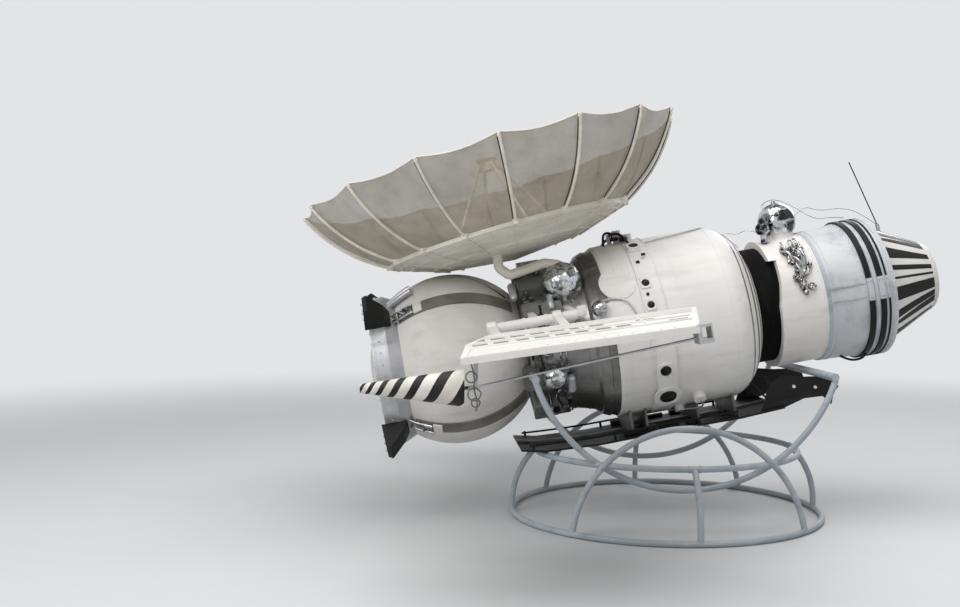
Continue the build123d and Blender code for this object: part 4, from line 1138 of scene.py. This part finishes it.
for name, side in (("near", -1), ("far", 1)):
    ridesOn = name + "_panel"
    space = panelFrame(side)
    rails = bmesh.new()
    corners = [Vector(spot) for spot in panel["corners"]]
    insets = [spot + (panel["middle"] - spot).normalized() * panel["inset"] for spot in corners]
    for index in range(len(insets)):
        panelLine(rails, insets[index - 1], insets[index], *panel["edgeRail"])
    for reach, left, right in panel["crossRails"]:
        panelLine(rails, (left, reach), (right, reach), *panel["crossRail"])
    for start, end in panel["longRails"]:
        panelLine(rails, start, end, *panel["longRail"])
    for index in range(panel["bolts"]):
        station = panel["boltStart"] + index * panel["boltPitch"]
        for reach in panel["boltReaches"]:
            addStud(rails, Matrix.Translation(onPanel((station, reach), 0)), *panel["bolt"])
    piece(name + "_panel_rails", rails, "bodyWhite", ridesOn, space)

    # grey patches painted as the shade in the panel's shallow pockets and slots
    pocketShades = bmesh.new()
    spots = [(spot, panel["slot"]) for spot in panel["slots"]]
    for reach, count in panel["pocketRows"]:
        for index in range(count):
            spots.append(((panel["pocketStart"] + index * panel["pocketPitch"], reach), panel["pocket"]))
    for spot, size in spots:
        addBlock(pocketShades, Matrix.Translation(onPanel(spot, panel["pocketRise"])), size, 0.001)
    piece(name + "_panel_pocket_shades", pocketShades, "pocketShadeGrey", ridesOn, space)

    wires = [mirrored(rootWires["lead"], side)]
    for lift, radius, offset in rootWires["loops"]:
        ring = [spoke(math.tau * turn / 8) * radius for turn in range(9)]
        reach = side * (rootWires["reach"] + offset)
        wires.append([(rootWires["station"] + spot.x, reach, lift + spot.y) for spot in ring])
    pipes(name + "_aerial_wires", wires, rootWires["radius"], "unitGrey", ridesOn)

    hinge = bmesh.new()
    reach = side * hingeTube["reach"]
    tubeFrame = moved(0, reach, hingeTube["lift"]) @ Matrix.Rotation(math.radians(90), 4, "Y")
    low, high, width = hingeTube["collar"]
    for start in hingeTube["collars"]:
        addTurned(hinge, slab(low, high, start, start + width), tubeFrame, steps=32)
    station, lift = hingeTube["block"]
    addBlock(hinge, moved(station, reach, lift), hingeTube["size"], 0.008)
    piece(name + "_hinge_trim", hinge, "bodyWhite")
    tubeEnd = bmesh.new()
    addTurned(tubeEnd, hingeTube["end"], tubeFrame, steps=32)
    piece(name + "_tube_end", tubeEnd, "blackPaint")
print("panels dressed")

# Stand: sleeves where its upper ring meets the legs
stand = {
    "middle": Vector((0.264, 0, 0.388)), "ring": 0.785, "inner": 0.0165, "outer": 0.0205,
    "starts": (-0.034, 0.026), "width": 0.008,
}
sleeves = bmesh.new()
for index in range(4):
    out = spoke(math.tau * index / 4)
    sleeve = facing(stand["middle"] + out * stand["ring"], zWay.cross(out), zWay)
    for start in stand["starts"]:
        outline = slab(stand["inner"], stand["outer"], start, start + stand["width"])
        addTurned(sleeves, outline, sleeve, steps=24)
piece("stand_sleeves", sleeves, "standPaint", space=level)
print("stand dressed")

# Camera at the photograph's place: level, a little to the right, framed below its horizon
view = {"place": (-1.2094, -6.8192, 1.4405), "turn": -3, "lens": 42.525, "shift": -0.0307}
camera = linked("camera", bpy.data.cameras.new("camera"))
camera.data.sensor_width = 36
camera.data.lens = view["lens"]
camera.data.shift_y = view["shift"]
camera.data.clip_end = 100
camera.location = view["place"]
camera.rotation_euler = (math.radians(90), 0, math.radians(view["turn"]))
bpy.context.scene.camera = camera
bpy.context.scene.view_settings.view_transform = "Standard"
bpy.context.scene.view_settings.look = "None"

# Studio: a wide pale floor that fades into the air far from the stand, and three soft lamps
studio = {
    "floor": tone(206, 207, 208), "floorDrift": tone(204, 205, 206), "air": tone(226, 228, 230),
    "ambient": 0.42, "fadeFrom": 4.5, "fadeTo": 11, "floorRadius": 30, "aim": Vector((0, 0, 1.1)),
}


def floorFinish():
    finish = Finish("floor")
    places = finish.places()
    along, across = finish.apart(places)[:2]
    distance = finish.maths("POWER", along * along + across * across, 0.5)
    colour = finish.twoTone(places, 1.4, studio["floor"], studio["floorDrift"], 3)
    ground = finish.add("ShaderNodeBsdfPrincipled", {}, {"Base Color": colour, "Roughness": 0.55})
    air = finish.add("ShaderNodeEmission", {}, {"Color": studio["air"], "Strength": 1})
    fade = finish.between(distance, studio["fadeFrom"], studio["fadeTo"])
    return finish.shown(finish.add("ShaderNodeMixShader", {}, (fade, ground, air)))


ground = bmesh.new()
bmesh.ops.create_circle(ground, cap_ends=True, segments=96, radius=studio["floorRadius"])
floorMesh = bpy.data.meshes.new("floor")
ground.to_mesh(floorMesh)
ground.free()
floorMesh.materials.append(floorFinish())
floor = linked("floor", floorMesh)
floor.location = (0, 0, -0.0005)

# the camera and reflections see the air's own tone, and everything else is lit by a dimmer white
world = bpy.data.worlds.new("studio")
bpy.context.scene.world = world
sky = Finish("studio", world)
kinds = ("Is Camera Ray", "Is Glossy Ray", "Is Transmission Ray")
rays = [sky.add("ShaderNodeLightPath", {}, {}, kind) for kind in kinds]
seen = sky.maths("MAXIMUM", rays[0], sky.maths("MAXIMUM", rays[1], rays[2]))
ambient = sky.add("ShaderNodeBackground", {}, {"Color": (1, 1, 1, 1), "Strength": studio["ambient"]})
backdrop = sky.add("ShaderNodeBackground", {}, {"Color": studio["air"], "Strength": 1})
sky.shown(sky.add("ShaderNodeMixShader", {}, (seen, ambient, backdrop)), "ShaderNodeOutputWorld")

lamps = {
    "overhead": {"place": (-0.6, -1.4, 6.4), "size": 5, "power": 285},
    "frontLeft": {"place": (-4.8, -5.2, 4.6), "size": 3.2, "power": 200},
    "back": {"place": (4.2, 4.4, 4.4), "size": 3, "power": 90},
}
for name, lamp in lamps.items():
    light = bpy.data.lights.new(name, "AREA")
    light.size = lamp["size"]
    light.energy = lamp["power"]
    holder = linked(name, light)
    holder.location = lamp["place"]
    holder.rotation_euler = (studio["aim"] - holder.location).to_track_quat("-Z", "Y").to_euler()
print("studio ready")
